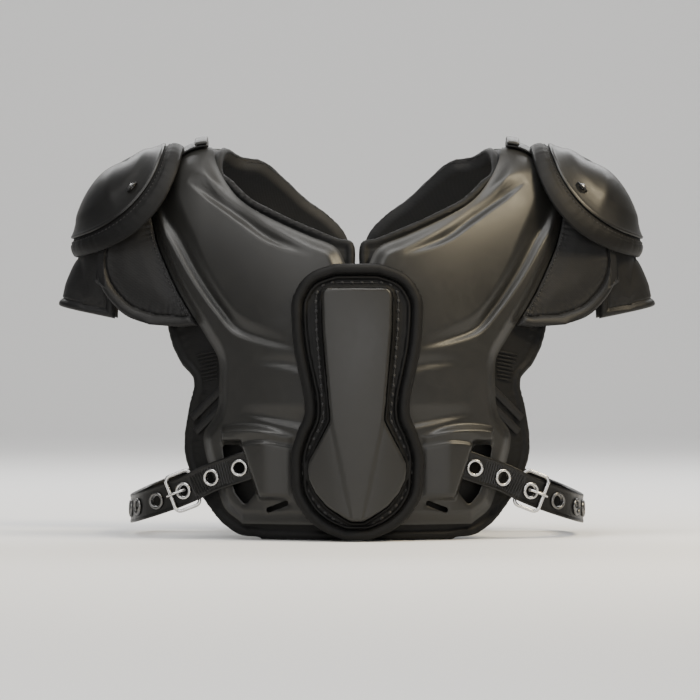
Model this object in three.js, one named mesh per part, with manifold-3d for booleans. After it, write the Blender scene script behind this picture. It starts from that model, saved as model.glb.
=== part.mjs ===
// Football shoulder pad: two padded arches with hard chest and back plates, a sternum guard, shoulder cups,
// hanging arm flaps and two buckled side belts.
// Millimetres, +Z up, front towards -Y. The origin is on the floor, under the middle of the outline.
import * as THREE from "three";
import Module from "manifold-3d";
import { mergeVertices } from "three/addons/utils/BufferGeometryUtils.js";

// Body form
const HALF_WIDTH = 270; // centre line to the outside of an arm flap
const RIDGE_HEIGHT = 348; // floor to the shoulder ridge of the padding
const CHEST_DEPTH = 138; // ridge line to the front of the padding, on the centre line
const SIDE_DEPTH = 28; // the same, far out under the cups
const BACK_SHARE = 0.88; // the back's depth as a share of the front's
const ARCH_REACH = 290; // distance out at which the arch is down to SIDE_DEPTH
const ARCH_POWER = 3.5; // how upright the front and back stand before they turn over the shoulder
const SLOPE_START = 135; // distance out at which the shoulder starts to fall
const SLOPE_ROUND = 25; // roundness of that start

// Walls and clearances
const GAP = 0.35; // between touching pieces
const SEAM = 1.6; // between the side edges of neighbouring pieces
const LINER_THICK = 13;
const PLATE_THICK = 2.8;
const PLATE_RISE = 6; // the plates dome this far off the padding inside their edges
const EDGE_TAPER = 13; // width over which a plate comes down to its edge
const RIDGE_TAPER = 50; // the same at its upper end, where the strap lies over it
const FLAP_THICK = 7;
const FLAP_FLARE = 12; // how far the front and back flaps stand off at their outer edge
const FLAP_HANG_X = 152; // distance out from which they hang straight down, clear of the shoulder's fall

// Sternum guard
const GUARD_TOP = 238; // height of its upper end
const GUARD_HALF_WIDTH = 53;
const GUARD_THICK = 11; // padded board
const GUARD_PLATE_RISE = 7; // hard plate, from the board up to its centre panel
const GUARD_PLATE_EDGE = 3;
const GUARD_PLATE_SLOPE = 8; // width of the fall from its centre panel to its edge
const GUARD_PLATE_INSET = 0.12; // of the board's length, left bare at either end

// Shoulder cups
const CUP_TOP_SEAT = 0.2; // upper end of the cup's rim, out from the plates' upper ends
const CUP_TOP_OVER = 24.5; // and up from the shoulder there
const CUP_END_INSET = 12; // outer end of the cup's rim, in from the arm flap's outside
const CUP_DROP = 86; // from the rim's upper end down to its outer one
const CUP_HALF_DEPTH = 60; // centre to the front of the rim
const CUP_RISE = 22; // crown above the line between the rim's ends
const CUP_DIP = 19; // how far the rim's front and back sag below that line
const CUP_THICK = 2.6;
const CUP_PAD_THICK = 6;
const CUP_PAD_MARGIN = 8; // how far the padding's rim stands out past the cup

// Arm flap
const ARM_FLAP_HALF_DEPTH = 38;
const ARM_FLAP_TOP_REACH = 52;
const ARM_FLAP_BOTTOM_REACH = 70; // from the flap's centre to its hem, at HALF_WIDTH
const ARM_FLAP_HANG = 61; // from the cup's outer end down to the hem
const ARM_FLAP_SPREAD = 75; // degrees to either side of straight out

// Strap over the ridge
const RIDGE_STRAP_IN_SEAT = 3.6; // its inner edge, out from the plates' upper inner corners
const RIDGE_STRAP_OUT_SEAT = 0.8; // its outer edge, in from their upper outer corners
const RIDGE_STRAP_THICK = 2.2;
const RIDGE_STRAP_LIFT = 1.2; // over the plates' facets
const RIDGE_STRAP_TURN = 12; // degrees to either side of the ridge
const KEEPER_WIDTH = 9; // loop on the strap's inner end
const KEEPER_THICK = 3;

// Side belts
const BELT_WIDTH = 25.4;
const BELT_THICK = 2.6;
const BELT_INSET = 67; // the belt's outermost point, in from the arm flap's outside
const BELT_LOW = 23; // height of its centre line there
const BELT_PITCH = 0.384; // rise per unit of width, from there in
const BELT_TUCK = 1.86; // its inner end, in from the window's inner corner
const BELT_TUCK_OFF = 6.5; // and off the padding, under the chest plate's panel
const BELT_LIFT_RUN = 20; // from there to where it climbs out of the window
const BELT_LIFT_OFF = 12;
const BELT_CLEAR = 2; // over its seat, where it leaves the plates
const BELT_SIDE_IN = 50; // its front and back turns, in from its outermost point
const BELT_CORNER_IN = 14;
const BELT_FORWARD = 8; // its outermost point, in front of the ridge line
const BELT_END_RUN = 12; // its back end, further out than its front one
const EYELET_SPACING = 29;
const EYELET_START = 18; // belt length from its inner end to the first eyelet
const EYELET_COUNT = 6;
const EYELET_HOLE = 10; // diameter
const EYELET_WALL = 0.9;
const EYELET_FLANGE = 15.5; // diameter
const EYELET_FLANGE_THICK = 1;
const BUCKLE_LENGTH = 23; // between the centres of its two bars
const BUCKLE_WIDTH = 33;
const BUCKLE_WIRE = 3.2; // diameter
const BUCKLE_CORNER = 5;
const PRONG_WIRE = 2.4;

// Laced strip that joins the back plates
const BACK_STRIP_HALF_WIDTH = 24;
const BACK_STRIP_LOW = 0.2; // as shares of the ridge height
const BACK_STRIP_HIGH = 0.6;
const BACK_STRIP_THICK = 3;
const BACK_STRIP_SETTLE = 0.7; // the plates' facets lie this much lower than their curve

// The belt's turns: distances out as shares of HALF_WIDTH, depths as shares of the depth where it leaves the plates.
const BELT_ROUTE = { frontLeave: 0.46, backLeave: 0.48, side: 0.93, corner: 0.7 };
// The prong's line: shares of half BUCKLE_LENGTH, and of the distance between its wire's centre and the bar's.
const PRONG_ROUTE = [
  { bar: 1, out: 1, up: 0 },
  { bar: 1, out: 0.7, up: 0.7 },
  { bar: 1, out: 0, up: 1 },
  { bar: 0.5, out: 0, up: 1.2 },
  { bar: 0, out: 0, up: 0.75 },
  { bar: -0.174, out: 0, up: 0.2 },
];

// Outlines, bottom to top. x as shares of HALF_WIDTH, up as shares of the ridge height at that x.
const CHEST_ROWS = [
  { inX: 0.027, inUp: 0.039, outX: 0.37, outUp: 0.039 },
  { inX: 0.027, inUp: 0.067, outX: 0.42, outUp: 0.07 },
  { inX: 0.027, inUp: 0.103, outX: 0.442, outUp: 0.103 },
  { inX: 0.027, inUp: 0.178, outX: 0.478, outUp: 0.178 },
  { inX: 0.027, inUp: 0.238, outX: 0.497, outUp: 0.238 },
  { inX: 0.027, inUp: 0.274, outX: 0.493, outUp: 0.274 },
  { inX: 0.027, inUp: 0.321, outX: 0.455, outUp: 0.321 },
  { inX: 0.027, inUp: 0.385, outX: 0.447, outUp: 0.385 },
  { inX: 0.027, inUp: 0.455, outX: 0.45, outUp: 0.455 },
  { inX: 0.027, inUp: 0.515, outX: 0.493, outUp: 0.515 },
  { inX: 0.027, inUp: 0.579, outX: 0.543, outUp: 0.58 },
  { inX: 0.027, inUp: 0.644, outX: 0.587, outUp: 0.652 },
  { inX: 0.04, inUp: 0.698, outX: 0.623, outUp: 0.728 },
  { inX: 0.073, inUp: 0.745, outX: 0.652, outUp: 0.8 },
  { inX: 0.163, inUp: 0.787, outX: 0.667, outUp: 0.86 },
  { inX: 0.273, inUp: 0.82, outX: 0.675, outUp: 0.91 },
  { inX: 0.367, inUp: 0.869, outX: 0.672, outUp: 0.95 },
  { inX: 0.423, inUp: 0.913, outX: 0.662, outUp: 0.975 },
  { inX: 0.463, inUp: 0.959, outX: 0.65, outUp: 0.988 },
  { inX: 0.483, inUp: 0.992, outX: 0.64, outUp: 0.993 },
];
const BACK_ROWS = [
  { inX: 0.04, inUp: 0.06, outX: 0.36, outUp: 0.06 },
  { inX: 0.03, inUp: 0.12, outX: 0.44, outUp: 0.12 },
  { inX: 0.03, inUp: 0.25, outX: 0.49, outUp: 0.25 },
  { inX: 0.03, inUp: 0.4, outX: 0.48, outUp: 0.4 },
  { inX: 0.03, inUp: 0.55, outX: 0.53, outUp: 0.55 },
  { inX: 0.04, inUp: 0.66, outX: 0.6, outUp: 0.68 },
  { inX: 0.13, inUp: 0.78, outX: 0.65, outUp: 0.8 },
  { inX: 0.27, inUp: 0.86, outX: 0.675, outUp: 0.9 },
  { inX: 0.39, inUp: 0.95, outX: 0.66, outUp: 0.97 },
  { inX: 0.46, inUp: 0.99, outX: 0.64, outUp: 0.993 },
];
const LINER_FRONT_ROWS = [
  { inX: 0.017, inUp: 0, outX: 0.317, outUp: 0 },
  { inX: 0.01, inUp: 0.018, outX: 0.417, outUp: 0.021 },
  { inX: 0.01, inUp: 0.062, outX: 0.48, outUp: 0.067 },
  { inX: 0.01, inUp: 0.134, outX: 0.537, outUp: 0.134 },
  { inX: 0.01, inUp: 0.212, outX: 0.572, outUp: 0.212 },
  { inX: 0.01, inUp: 0.274, outX: 0.572, outUp: 0.274 },
  { inX: 0.01, inUp: 0.334, outX: 0.56, outUp: 0.334 },
  { inX: 0.01, inUp: 0.403, outX: 0.543, outUp: 0.403 },
  { inX: 0.01, inUp: 0.458, outX: 0.587, outUp: 0.458 },
  { inX: 0.01, inUp: 0.528, outX: 0.62, outUp: 0.528 },
  { inX: 0.008, inUp: 0.605, outX: 0.64, outUp: 0.615 },
  { inX: 0.008, inUp: 0.678, outX: 0.663, outUp: 0.72 },
  { inX: 0.012, inUp: 0.753, outX: 0.69, outUp: 0.81 },
  { inX: 0.073, inUp: 0.805, outX: 0.7, outUp: 0.88 },
  { inX: 0.19, inUp: 0.815, outX: 0.705, outUp: 0.925 },
  { inX: 0.283, inUp: 0.845, outX: 0.705, outUp: 0.955 },
  { inX: 0.353, inUp: 0.88, outX: 0.705, outUp: 0.975 },
  { inX: 0.41, inUp: 0.925, outX: 0.7, outUp: 0.988 },
  { inX: 0.45, inUp: 0.966, outX: 0.695, outUp: 0.996 },
];
const LINER_BACK_ROWS = [
  { inX: 0.403, inUp: 0.99, outX: 0.695, outUp: 0.994 },
  { inX: 0.317, inUp: 0.967, outX: 0.695, outUp: 0.978 },
  { inX: 0.247, inUp: 0.915, outX: 0.695, outUp: 0.95 },
  { inX: 0.177, inUp: 0.861, outX: 0.69, outUp: 0.9 },
  { inX: 0.097, inUp: 0.817, outX: 0.68, outUp: 0.84 },
  { inX: 0.04, inUp: 0.773, outX: 0.665, outUp: 0.78 },
  { inX: 0.013, inUp: 0.703, outX: 0.645, outUp: 0.7 },
  { inX: 0.01, inUp: 0.6, outX: 0.62, outUp: 0.6 },
  { inX: 0.01, inUp: 0.45, outX: 0.57, outUp: 0.45 },
  { inX: 0.01, inUp: 0.3, outX: 0.54, outUp: 0.3 },
  { inX: 0.01, inUp: 0.15, outX: 0.52, outUp: 0.15 },
  { inX: 0.01, inUp: 0.05, outX: 0.47, outUp: 0.05 },
  { inX: 0.02, inUp: 0, outX: 0.4, outUp: 0 },
];
// Front and back flaps: the outer edge. Their inner edge follows the plate's outer edge.
const FLAP_ROWS = [
  { up: 0.54, outX: 0.657 },
  { up: 0.561, outX: 0.733 },
  { up: 0.592, outX: 0.783 },
  { up: 0.631, outX: 0.823 },
  { up: 0.68, outX: 0.847 },
  { up: 0.73, outX: 0.847 },
  { up: 0.775, outX: 0.83 },
];
// Sternum guard from its upper end down: at as a share of GUARD_TOP, half widths as shares of GUARD_HALF_WIDTH.
const GUARD_ROWS = [
  { at: 1, pad: 0.34, plate: 0.3 },
  { at: 0.975, pad: 0.66, plate: 0.46 },
  { at: 0.945, pad: 0.83, plate: 0.54 },
  { at: 0.905, pad: 0.94, plate: 0.54 },
  { at: 0.86, pad: 1, plate: 0.53 },
  { at: 0.77, pad: 0.99, plate: 0.48 },
  { at: 0.69, pad: 0.95, plate: 0.42 },
  { at: 0.6, pad: 0.87, plate: 0.35 },
  { at: 0.52, pad: 0.8, plate: 0.29 },
  { at: 0.455, pad: 0.8, plate: 0.27 },
  { at: 0.4, pad: 0.9, plate: 0.49 },
  { at: 0.32, pad: 1, plate: 0.66 },
  { at: 0.24, pad: 1, plate: 0.66 },
  { at: 0.17, pad: 0.97, plate: 0.57 },
  { at: 0.11, pad: 0.84, plate: 0.4 },
  { at: 0.075, pad: 0.72, plate: 0.24 },
  { at: 0.035, pad: 0.5, plate: 0.16 },
  { at: 0.004, pad: 0.2, plate: 0.1 },
];
// Grooves pressed into the chest plates: ends as shares of HALF_WIDTH and RIDGE_HEIGHT, widths and depths in mm.
const GROOVES = [
  { name: "neck crease", x0: 0.45, z0: 0.865, x1: 0.12, z1: 0.708, wide0: 9, wide1: 3, deep0: 5, deep1: 0.5 },
  { name: "upper channel", x0: 0.585, z0: 0.81, x1: 0.45, z1: 0.615, wide0: 10, wide1: 10, deep0: 5.5, deep1: 5.5 },
  { name: "lower channel", x0: 0.45, z0: 0.615, x1: 0.385, z1: 0.55, wide0: 10, wide1: 8, deep0: 5.5, deep1: 4 },
  { name: "channel tail", x0: 0.385, z0: 0.55, x1: 0.18, z1: 0.502, wide0: 8, wide1: 5, deep0: 4, deep1: 1 },
  { name: "waist crease", x0: 0.17, z0: 0.31, x1: 0.34, z1: 0.33, wide0: 8, wide1: 3, deep0: 4, deep1: 0.5 },
  { name: "breast crease", x0: 0.17, z0: 0.45, x1: 0.31, z1: 0.458, wide0: 5, wide1: 2, deep0: 3, deep1: 0.5 },
];
// Raised panel beside the belt window: sides as shares of HALF_WIDTH and RIDGE_HEIGHT. lean moves its outer foot in.
const PANEL = { inX: 0.245, outX: 0.36, low: 0.12, high: 0.25, lean: 0.06 };
const PANEL_RISE = 9;
const PANEL_WALL = 9; // width of its sloping sides
// Belt window and vent slot in the chest plates, as shares of HALF_WIDTH and RIDGE_HEIGHT, in order round.
const WINDOW = [
  [0.425, 0.238],
  [0.365, 0.238],
  [0.318, 0.118],
  [0.352, 0.09],
  [0.385, 0.118],
  [0.42, 0.2],
];
const GROOVE_STEEP = 1.4; // how much of a groove's half width its walls take up
const CUT_REACH = 1.2; // depth of the cuts below, as a share of CHEST_DEPTH
const SLOT = [
  [0.284, 0.067],
  [0.214, 0.087],
  [0.214, 0.1],
  [0.284, 0.08],
];

const MATERIALS = {
  shell: { color: 0x3b3b3a, roughness: 0.42, metalness: 0 },
  cup: { color: 0x333334, roughness: 0.35, metalness: 0 },
  fabric: { color: 0x1b1b1c, roughness: 0.85, metalness: 0 },
  webbing: { color: 0x121213, roughness: 0.6, metalness: 0 },
  metal: { color: 0xb9b9bb, roughness: 0.25, metalness: 1 },
};

const wasm = await Module();
wasm.setup();

// The padding's outer surface. x is the distance out from the centre line on either side.
const hollow = (x) => (1 + Math.cos((Math.PI * Math.min(x, ARCH_REACH)) / ARCH_REACH)) / 2;
const depthAt = (x) => SIDE_DEPTH + (CHEST_DEPTH - SIDE_DEPTH) * hollow(x);

function ridgeAt(x) {
  const past = Math.max(0, x - SLOPE_START);
  return RIDGE_HEIGHT - (Math.hypot(past, SLOPE_ROUND) - SLOPE_ROUND);
}

// The turn runs from 0 at the front's foot over the ridge at PI / 2 to PI at the back's foot.
function turnOf(up, back) {
  const turn = Math.asin(Math.min(1, Math.max(0, up)) ** (ARCH_POWER / 2));
  return back ? Math.PI - turn : turn;
}

// The point at a distance out and a turn, moved off the surface along its normal.
// A sheet that hangs clear of the shoulder's fall gives the distance out at which it takes its ridge height.
function onBody(x, turn, off, ridgeX = x) {
  const behind = turn > Math.PI / 2;
  const reach = (behind ? BACK_SHARE : 1) * depthAt(x);
  const ridge = ridgeAt(ridgeX);
  const y = -reach * Math.cos(turn);
  const z = ridge * Math.max(0, Math.sin(turn)) ** (2 / ARCH_POWER);
  const past = Math.max(0, ridgeX - SLOPE_START);
  const ridgeSlope = ridgeX < x ? 0 : -past / Math.hypot(past, SLOPE_ROUND);
  const share = (CHEST_DEPTH - SIDE_DEPTH) * (behind ? BACK_SHARE : 1);
  const depthSlope = (-share * Math.PI * Math.sin((Math.PI * Math.min(x, ARCH_REACH)) / ARCH_REACH)) / (2 * ARCH_REACH);
  const climb = (z / ridge) ** ARCH_POWER;
  const normal = new THREE.Vector3(
    (-2 * y * y * depthSlope) / reach ** 3 - (ARCH_POWER * climb * ridgeSlope) / ridge,
    (2 * y) / reach ** 2,
    (ARCH_POWER * climb) / Math.max(z, 1e-6),
  ).normalize();
  return new THREE.Vector3(x, y, z).addScaledVector(normal, off);
}

// Value of one table column at a share of the way down the table, on a smooth curve through the rows.
function column(rows, key, share) {
  const place = Math.min(Math.max(share, 0), 1) * (rows.length - 1);
  const i = Math.min(Math.floor(place), rows.length - 2);
  const t = place - i;
  const p1 = rows[i][key];
  const p2 = rows[i + 1][key];
  const p0 = i > 0 ? rows[i - 1][key] : 2 * p1 - p2;
  const p3 = i + 2 < rows.length ? rows[i + 2][key] : 2 * p2 - p1;
  const bend = (2 * p0 - 5 * p1 + 4 * p2 - p3) * t * t + (3 * p1 - p0 - 3 * p2 + p3) * t * t * t;
  return p1 + 0.5 * ((p2 - p0) * t + bend);
}

// Rows turned into distances out and turns.
function outline(rows, back) {
  return rows.map((row) => ({
    inX: row.inX * HALF_WIDTH,
    outX: row.outX * HALF_WIDTH,
    inTurn: turnOf(row.inUp, back),
    outTurn: turnOf(row.outUp, back),
  }));
}

function spanAt(rows, across, along) {
  const inX = column(rows, "inX", along);
  const outX = column(rows, "outX", along);
  const inTurn = column(rows, "inTurn", along);
  const outTurn = column(rows, "outTurn", along);
  return { x: inX + across * (outX - inX), turn: inTurn + across * (outTurn - inTurn), width: outX - inX };
}

const smooth = (t) => {
  const s = Math.min(1, Math.max(0, t));
  return s * s * (3 - 2 * s);
};

// Closed body from a grid of points on its lower and upper faces: [row][column] of Vector3.
function sheetGeometry(lower, upper) {
  const rows = lower.length;
  const columns = lower[0].length;
  const points = [...lower.flat(), ...upper.flat()];
  const top = rows * columns;
  const index = [];
  const quad = (a, b, c, d) => index.push(a, b, c, a, c, d);
  for (let r = 0; r < rows - 1; r++) {
    for (let c = 0; c < columns - 1; c++) {
      const a = r * columns + c;
      quad(a, a + columns, a + columns + 1, a + 1);
      quad(top + a, top + a + 1, top + a + columns + 1, top + a + columns);
    }
  }
  for (let c = 0; c < columns - 1; c++) {
    const last = (rows - 1) * columns + c;
    quad(c, c + 1, top + c + 1, top + c);
    quad(last + 1, last, top + last, top + last + 1);
  }
  for (let r = 0; r < rows - 1; r++) {
    const a = r * columns;
    const b = a + columns - 1;
    quad(a + columns, a, top + a, top + a + columns);
    quad(b, b + columns, top + b + columns, top + b);
  }
  return facingOut(points, index);
}

// Closed body from rings round a middle point on each face: middle, [ring][spoke] of Vector3.
function discGeometry(lowerMiddle, lower, upperMiddle, upper) {
  const rings = lower.length;
  const spokes = lower[0].length;
  const points = [lowerMiddle, ...lower.flat(), upperMiddle, ...upper.flat()];
  const top = rings * spokes + 1;
  const index = [];
  for (let s = 0; s < spokes; s++) {
    const next = (s + 1) % spokes;
    index.push(0, 1 + next, 1 + s, top, top + 1 + s, top + 1 + next);
    for (let r = 0; r < rings - 1; r++) {
      const a = 1 + r * spokes + s;
      const b = 1 + r * spokes + next;
      index.push(a, b, b + spokes, a, b + spokes, a + spokes);
      index.push(top + a, top + b + spokes, top + b, top + a, top + a + spokes, top + b + spokes);
    }
    const rimA = 1 + (rings - 1) * spokes + s;
    const rimB = 1 + (rings - 1) * spokes + next;
    index.push(rimA, rimB, top + rimB, rimA, top + rimB, top + rimA);
  }
  return facingOut(points, index);
}

// Wire of round section through points; closed joins its ends, open closes them flat.
function wireGeometry(path, diameter, sides, closed) {
  const count = path.length;
  const points = [];
  const index = [];
  const middle = path.reduce((sum, p) => sum.add(p), new THREE.Vector3()).divideScalar(count);
  path.forEach((p, i) => {
    const before = path[closed ? (i + count - 1) % count : Math.max(0, i - 1)];
    const after = path[closed ? (i + 1) % count : Math.min(count - 1, i + 1)];
    const along = after.clone().sub(before).normalize();
    const outward = p.clone().sub(middle);
    const side = outward.addScaledVector(along, -outward.dot(along));
    if (side.lengthSq() < 1e-6) side.set(along.y, -along.x, 0).addScalar(0.01);
    side.addScaledVector(along, -side.dot(along)).normalize();
    const other = along.clone().cross(side);
    for (let k = 0; k < sides; k++) {
      const angle = (2 * Math.PI * (k + 0.5)) / sides;
      const arm = side.clone().multiplyScalar(Math.cos(angle)).addScaledVector(other, Math.sin(angle));
      points.push(p.clone().addScaledVector(arm, diameter / 2));
    }
  });
  const spans = closed ? count : count - 1;
  for (let i = 0; i < spans; i++) {
    for (let k = 0; k < sides; k++) {
      const a = i * sides + k;
      const b = i * sides + ((k + 1) % sides);
      const c = ((i + 1) % count) * sides + ((k + 1) % sides);
      const d = ((i + 1) % count) * sides + k;
      index.push(a, b, c, a, c, d);
    }
  }
  if (!closed) {
    for (let k = 1; k < sides - 1; k++) {
      const last = (count - 1) * sides;
      index.push(0, k + 1, k, last, last + k, last + k + 1);
    }
  }
  return facingOut(points, index);
}

// Geometry from points and triangles, turned round as a whole if it faces in.
function facingOut(points, index) {
  let volume = 0;
  for (let i = 0; i < index.length; i += 3) {
    const [a, b, c] = [points[index[i]], points[index[i + 1]], points[index[i + 2]]];
    volume += a.dot(b.clone().cross(c));
  }
  if (volume < 0) {
    for (let i = 0; i < index.length; i += 3) [index[i + 1], index[i + 2]] = [index[i + 2], index[i + 1]];
  }
  const geometry = new THREE.BufferGeometry().setFromPoints(points);
  geometry.setIndex(index);
  return geometry;
}

function toSolid(geometry) {
  const bare = new THREE.BufferGeometry().setAttribute("position", geometry.getAttribute("position"));
  if (geometry.index) bare.setIndex(geometry.index);
  const merged = mergeVertices(bare, 1e-4);
  const mesh = new wasm.Mesh({
    numProp: 3,
    vertProperties: new Float32Array(merged.attributes.position.array),
    triVerts: new Uint32Array(merged.index.array),
  });
  return new wasm.Manifold(mesh);
}

function toGeometry(solid) {
  const mesh = solid.getMesh();
  const geometry = new THREE.BufferGeometry();
  geometry.setAttribute("position", new THREE.BufferAttribute(mesh.vertProperties, mesh.numProp));
  geometry.setIndex(new THREE.BufferAttribute(mesh.triVerts, 1));
  return geometry;
}

function cutAway(geometry, cutters) {
  const left = cutters.reduce((solid, cutter) => solid.subtract(toSolid(cutter)), toSolid(geometry));
  return toGeometry(left);
}

// Sheet on the body between two outlines; low and high give its faces' distances off the body.
function bodySheet(rows, acrossSteps, alongSteps, low, high, hangX = Infinity) {
  const lower = [];
  const upper = [];
  for (let r = 0; r <= alongSteps; r++) {
    const lowRow = [];
    const highRow = [];
    for (let c = 0; c <= acrossSteps; c++) {
      const across = c / acrossSteps;
      const along = r / alongSteps;
      const spot = spanAt(rows, across, along);
      const ridgeX = Math.min(spot.x, hangX);
      lowRow.push(onBody(spot.x, spot.turn, low(across, along, spot), ridgeX));
      highRow.push(onBody(spot.x, spot.turn, high(across, along, spot), ridgeX));
    }
    lower.push(lowRow);
    upper.push(highRow);
  }
  return sheetGeometry(lower, upper);
}

// How far a spot on a plate is lifted by its dome: nothing at the edges, all of it past the tapers.
function domeShare(across, along, spot) {
  const side = Math.min(across, 1 - across) * spot.width;
  const foot = along * RIDGE_HEIGHT;
  const top = (1 - along) * RIDGE_HEIGHT;
  return smooth(side / EDGE_TAPER) * smooth(foot / EDGE_TAPER) * smooth(top / RIDGE_TAPER);
}

// Depth of the pressed grooves at a place on the front.
function grooveDepth(x, z) {
  return GROOVES.reduce((deepest, g) => {
    const [ax, az] = [g.x0 * HALF_WIDTH, g.z0 * RIDGE_HEIGHT];
    const [bx, bz] = [g.x1 * HALF_WIDTH, g.z1 * RIDGE_HEIGHT];
    const length2 = (bx - ax) ** 2 + (bz - az) ** 2;
    const t = Math.min(1, Math.max(0, ((x - ax) * (bx - ax) + (z - az) * (bz - az)) / length2));
    const away = Math.hypot(x - ax - t * (bx - ax), z - az - t * (bz - az));
    const wide = g.wide0 + t * (g.wide1 - g.wide0);
    const deep = g.deep0 + t * (g.deep1 - g.deep0);
    return Math.max(deepest, deep * smooth(GROOVE_STEEP * (1 - away / wide)));
  }, 0);
}

// Share of the raised panel's height at a place on the front.
function panelShare(x, z) {
  const high = PANEL.high * RIDGE_HEIGHT;
  const lean = PANEL.lean * HALF_WIDTH * ((high - z) / high);
  const inside = Math.min(
    x - PANEL.inX * HALF_WIDTH,
    PANEL.outX * HALF_WIDTH - lean - x,
    z - PANEL.low * RIDGE_HEIGHT,
    high - z,
  );
  return smooth(inside / PANEL_WALL + 0.5);
}

function chestPlate() {
  const rows = outline(CHEST_ROWS, false);
  const low = (across, along, spot) => {
    const z = ridgeAt(spot.x) * Math.sin(spot.turn) ** (2 / ARCH_POWER);
    const dome = domeShare(across, along, spot);
    const relief = PLATE_RISE - grooveDepth(spot.x, z) + PANEL_RISE * panelShare(spot.x, z);
    return GAP + dome * Math.max(0, relief);
  };
  const high = (across, along, spot) => low(across, along, spot) + PLATE_THICK;
  const plate = bodySheet(rows, 12, 24, low, high);
  return cutAway(plate, [frontPrism(WINDOW), frontPrism(SLOT)]);
}

// Straight prism through the front, from an outline of shares.
function frontPrism(corners) {
  const shape = new THREE.Shape(corners.map(([x, z]) => new THREE.Vector2(x * HALF_WIDTH, z * RIDGE_HEIGHT)));
  const prism = new THREE.ExtrudeGeometry(shape, { depth: CUT_REACH * CHEST_DEPTH, bevelEnabled: false });
  prism.rotateX(Math.PI / 2);
  return prism;
}

function backPlate() {
  const rows = outline(BACK_ROWS, true);
  const low = (across, along, spot) => GAP + domeShare(across, along, spot) * PLATE_RISE;
  const high = (across, along, spot) => low(across, along, spot) + PLATE_THICK;
  return bodySheet(rows, 7, 13, low, high);
}

function bodyLiner() {
  const rows = [...outline(LINER_FRONT_ROWS, false), ...outline(LINER_BACK_ROWS, true)];
  const low = () => -LINER_THICK;
  const high = () => 0;
  return bodySheet(rows, 5, 31, low, high);
}

// Flap beside a plate's outer edge: front or back of the arm.
function armSideFlap(plateRows, back) {
  const plate = outline(plateRows, back);
  const rows = FLAP_ROWS.map((row) => {
    const height = row.up * RIDGE_HEIGHT;
    const share = shareAtHeight(plate, height);
    const inX = column(plate, "outX", share) + SEAM;
    const turnAt = (x) => turnOf(height / ridgeAt(Math.min(x, FLAP_HANG_X)), back);
    const outX = row.outX * HALF_WIDTH;
    return { inX, outX, inTurn: turnAt(inX), outTurn: turnAt(outX) };
  });
  const low = (across) => GAP + FLAP_FLARE * across;
  const high = (across, along, spot) => low(across, along, spot) + FLAP_THICK;
  return cutAway(bodySheet(rows, 6, 7, low, high, FLAP_HANG_X), [cupRoom()]);
}

// Share of the way up a plate's table at which its outer edge reaches a height.
function shareAtHeight(rows, height) {
  let [lowShare, highShare] = [0, 1];
  for (let i = 0; i < 30; i++) {
    const middle = (lowShare + highShare) / 2;
    const edge = onBody(column(rows, "outX", middle), column(rows, "outTurn", middle), 0);
    if (edge.z < height) lowShare = middle;
    else highShare = middle;
  }
  return (lowShare + highShare) / 2;
}

// Distances out of the plates' upper corners, which the strap and the cup are set from.
const plateTopIn = CHEST_ROWS.at(-1).inX * HALF_WIDTH;
const plateTopOut = CHEST_ROWS.at(-1).outX * HALF_WIDTH;

// The cup's own frame: its middle, the way down its slope and the way out of its crown.
const cupTopX = plateTopOut + CUP_TOP_SEAT;
const cupTop = new THREE.Vector3(cupTopX, 0, ridgeAt(cupTopX) + CUP_TOP_OVER);
const cupEnd = new THREE.Vector3(HALF_WIDTH - CUP_END_INSET, 0, cupTop.z - CUP_DROP);
const cupMiddle = cupTop.clone().add(cupEnd).multiplyScalar(0.5);
const cupDown = cupEnd.clone().sub(cupTop);
const cupHalfLength = cupDown.length() / 2;
cupDown.normalize();
const cupOut = new THREE.Vector3(-cupDown.z, 0, cupDown.x);

// Point of the cup's surface at shares of its half length and half depth, a distance below its outer face.
function onCup(u, v, below) {
  const rise = CUP_RISE * (1 - u * u) - (CUP_RISE + CUP_DIP) * v * v - below;
  return cupMiddle
    .clone()
    .addScaledVector(cupDown, u * cupHalfLength)
    .addScaledVector(cupOut, rise)
    .add(new THREE.Vector3(0, v * CUP_HALF_DEPTH, 0));
}

// Shell that follows the cup, out to a margin past its rim.
function cupShell(margin, lowBelow, highBelow) {
  const spokes = 14;
  const shares = [0.25, 0.45, 0.65, 0.83, 1];
  if (margin > 0) shares.push(1 + margin / CUP_HALF_DEPTH);
  const face = (below) =>
    shares.map((share) =>
      Array.from({ length: spokes }, (_, s) => {
        const angle = (2 * Math.PI * s) / spokes;
        return onCup(share * Math.cos(angle), share * Math.sin(angle), below);
      }),
    );
  return discGeometry(onCup(0, 0, lowBelow), face(lowBelow), onCup(0, 0, highBelow), face(highBelow));
}

const cupPadLow = CUP_THICK + GAP + CUP_PAD_THICK;
const shoulderCup = () => cupShell(0, CUP_THICK, 0);
const cupPad = () => cupShell(CUP_PAD_MARGIN, cupPadLow, CUP_THICK + GAP);

// Everything from just under the cup's padding up to its outer face, for fitting what hangs below.
const cupRoom = () => cupShell(CUP_PAD_MARGIN + GAP, cupPadLow + GAP, 0);

// Height of the cup padding's underside over a place, or of its outer end's for a place past that.
function cupPadUnderside(x, y) {
  const v = y / CUP_HALF_DEPTH;
  let [inner, outer] = [-1.5, 1 + CUP_PAD_MARGIN / CUP_HALF_DEPTH];
  for (let i = 0; i < 40; i++) {
    const u = (inner + outer) / 2;
    if (onCup(u, v, cupPadLow).x < x) inner = u;
    else outer = u;
  }
  return onCup((inner + outer) / 2, v, cupPadLow).z;
}

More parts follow.
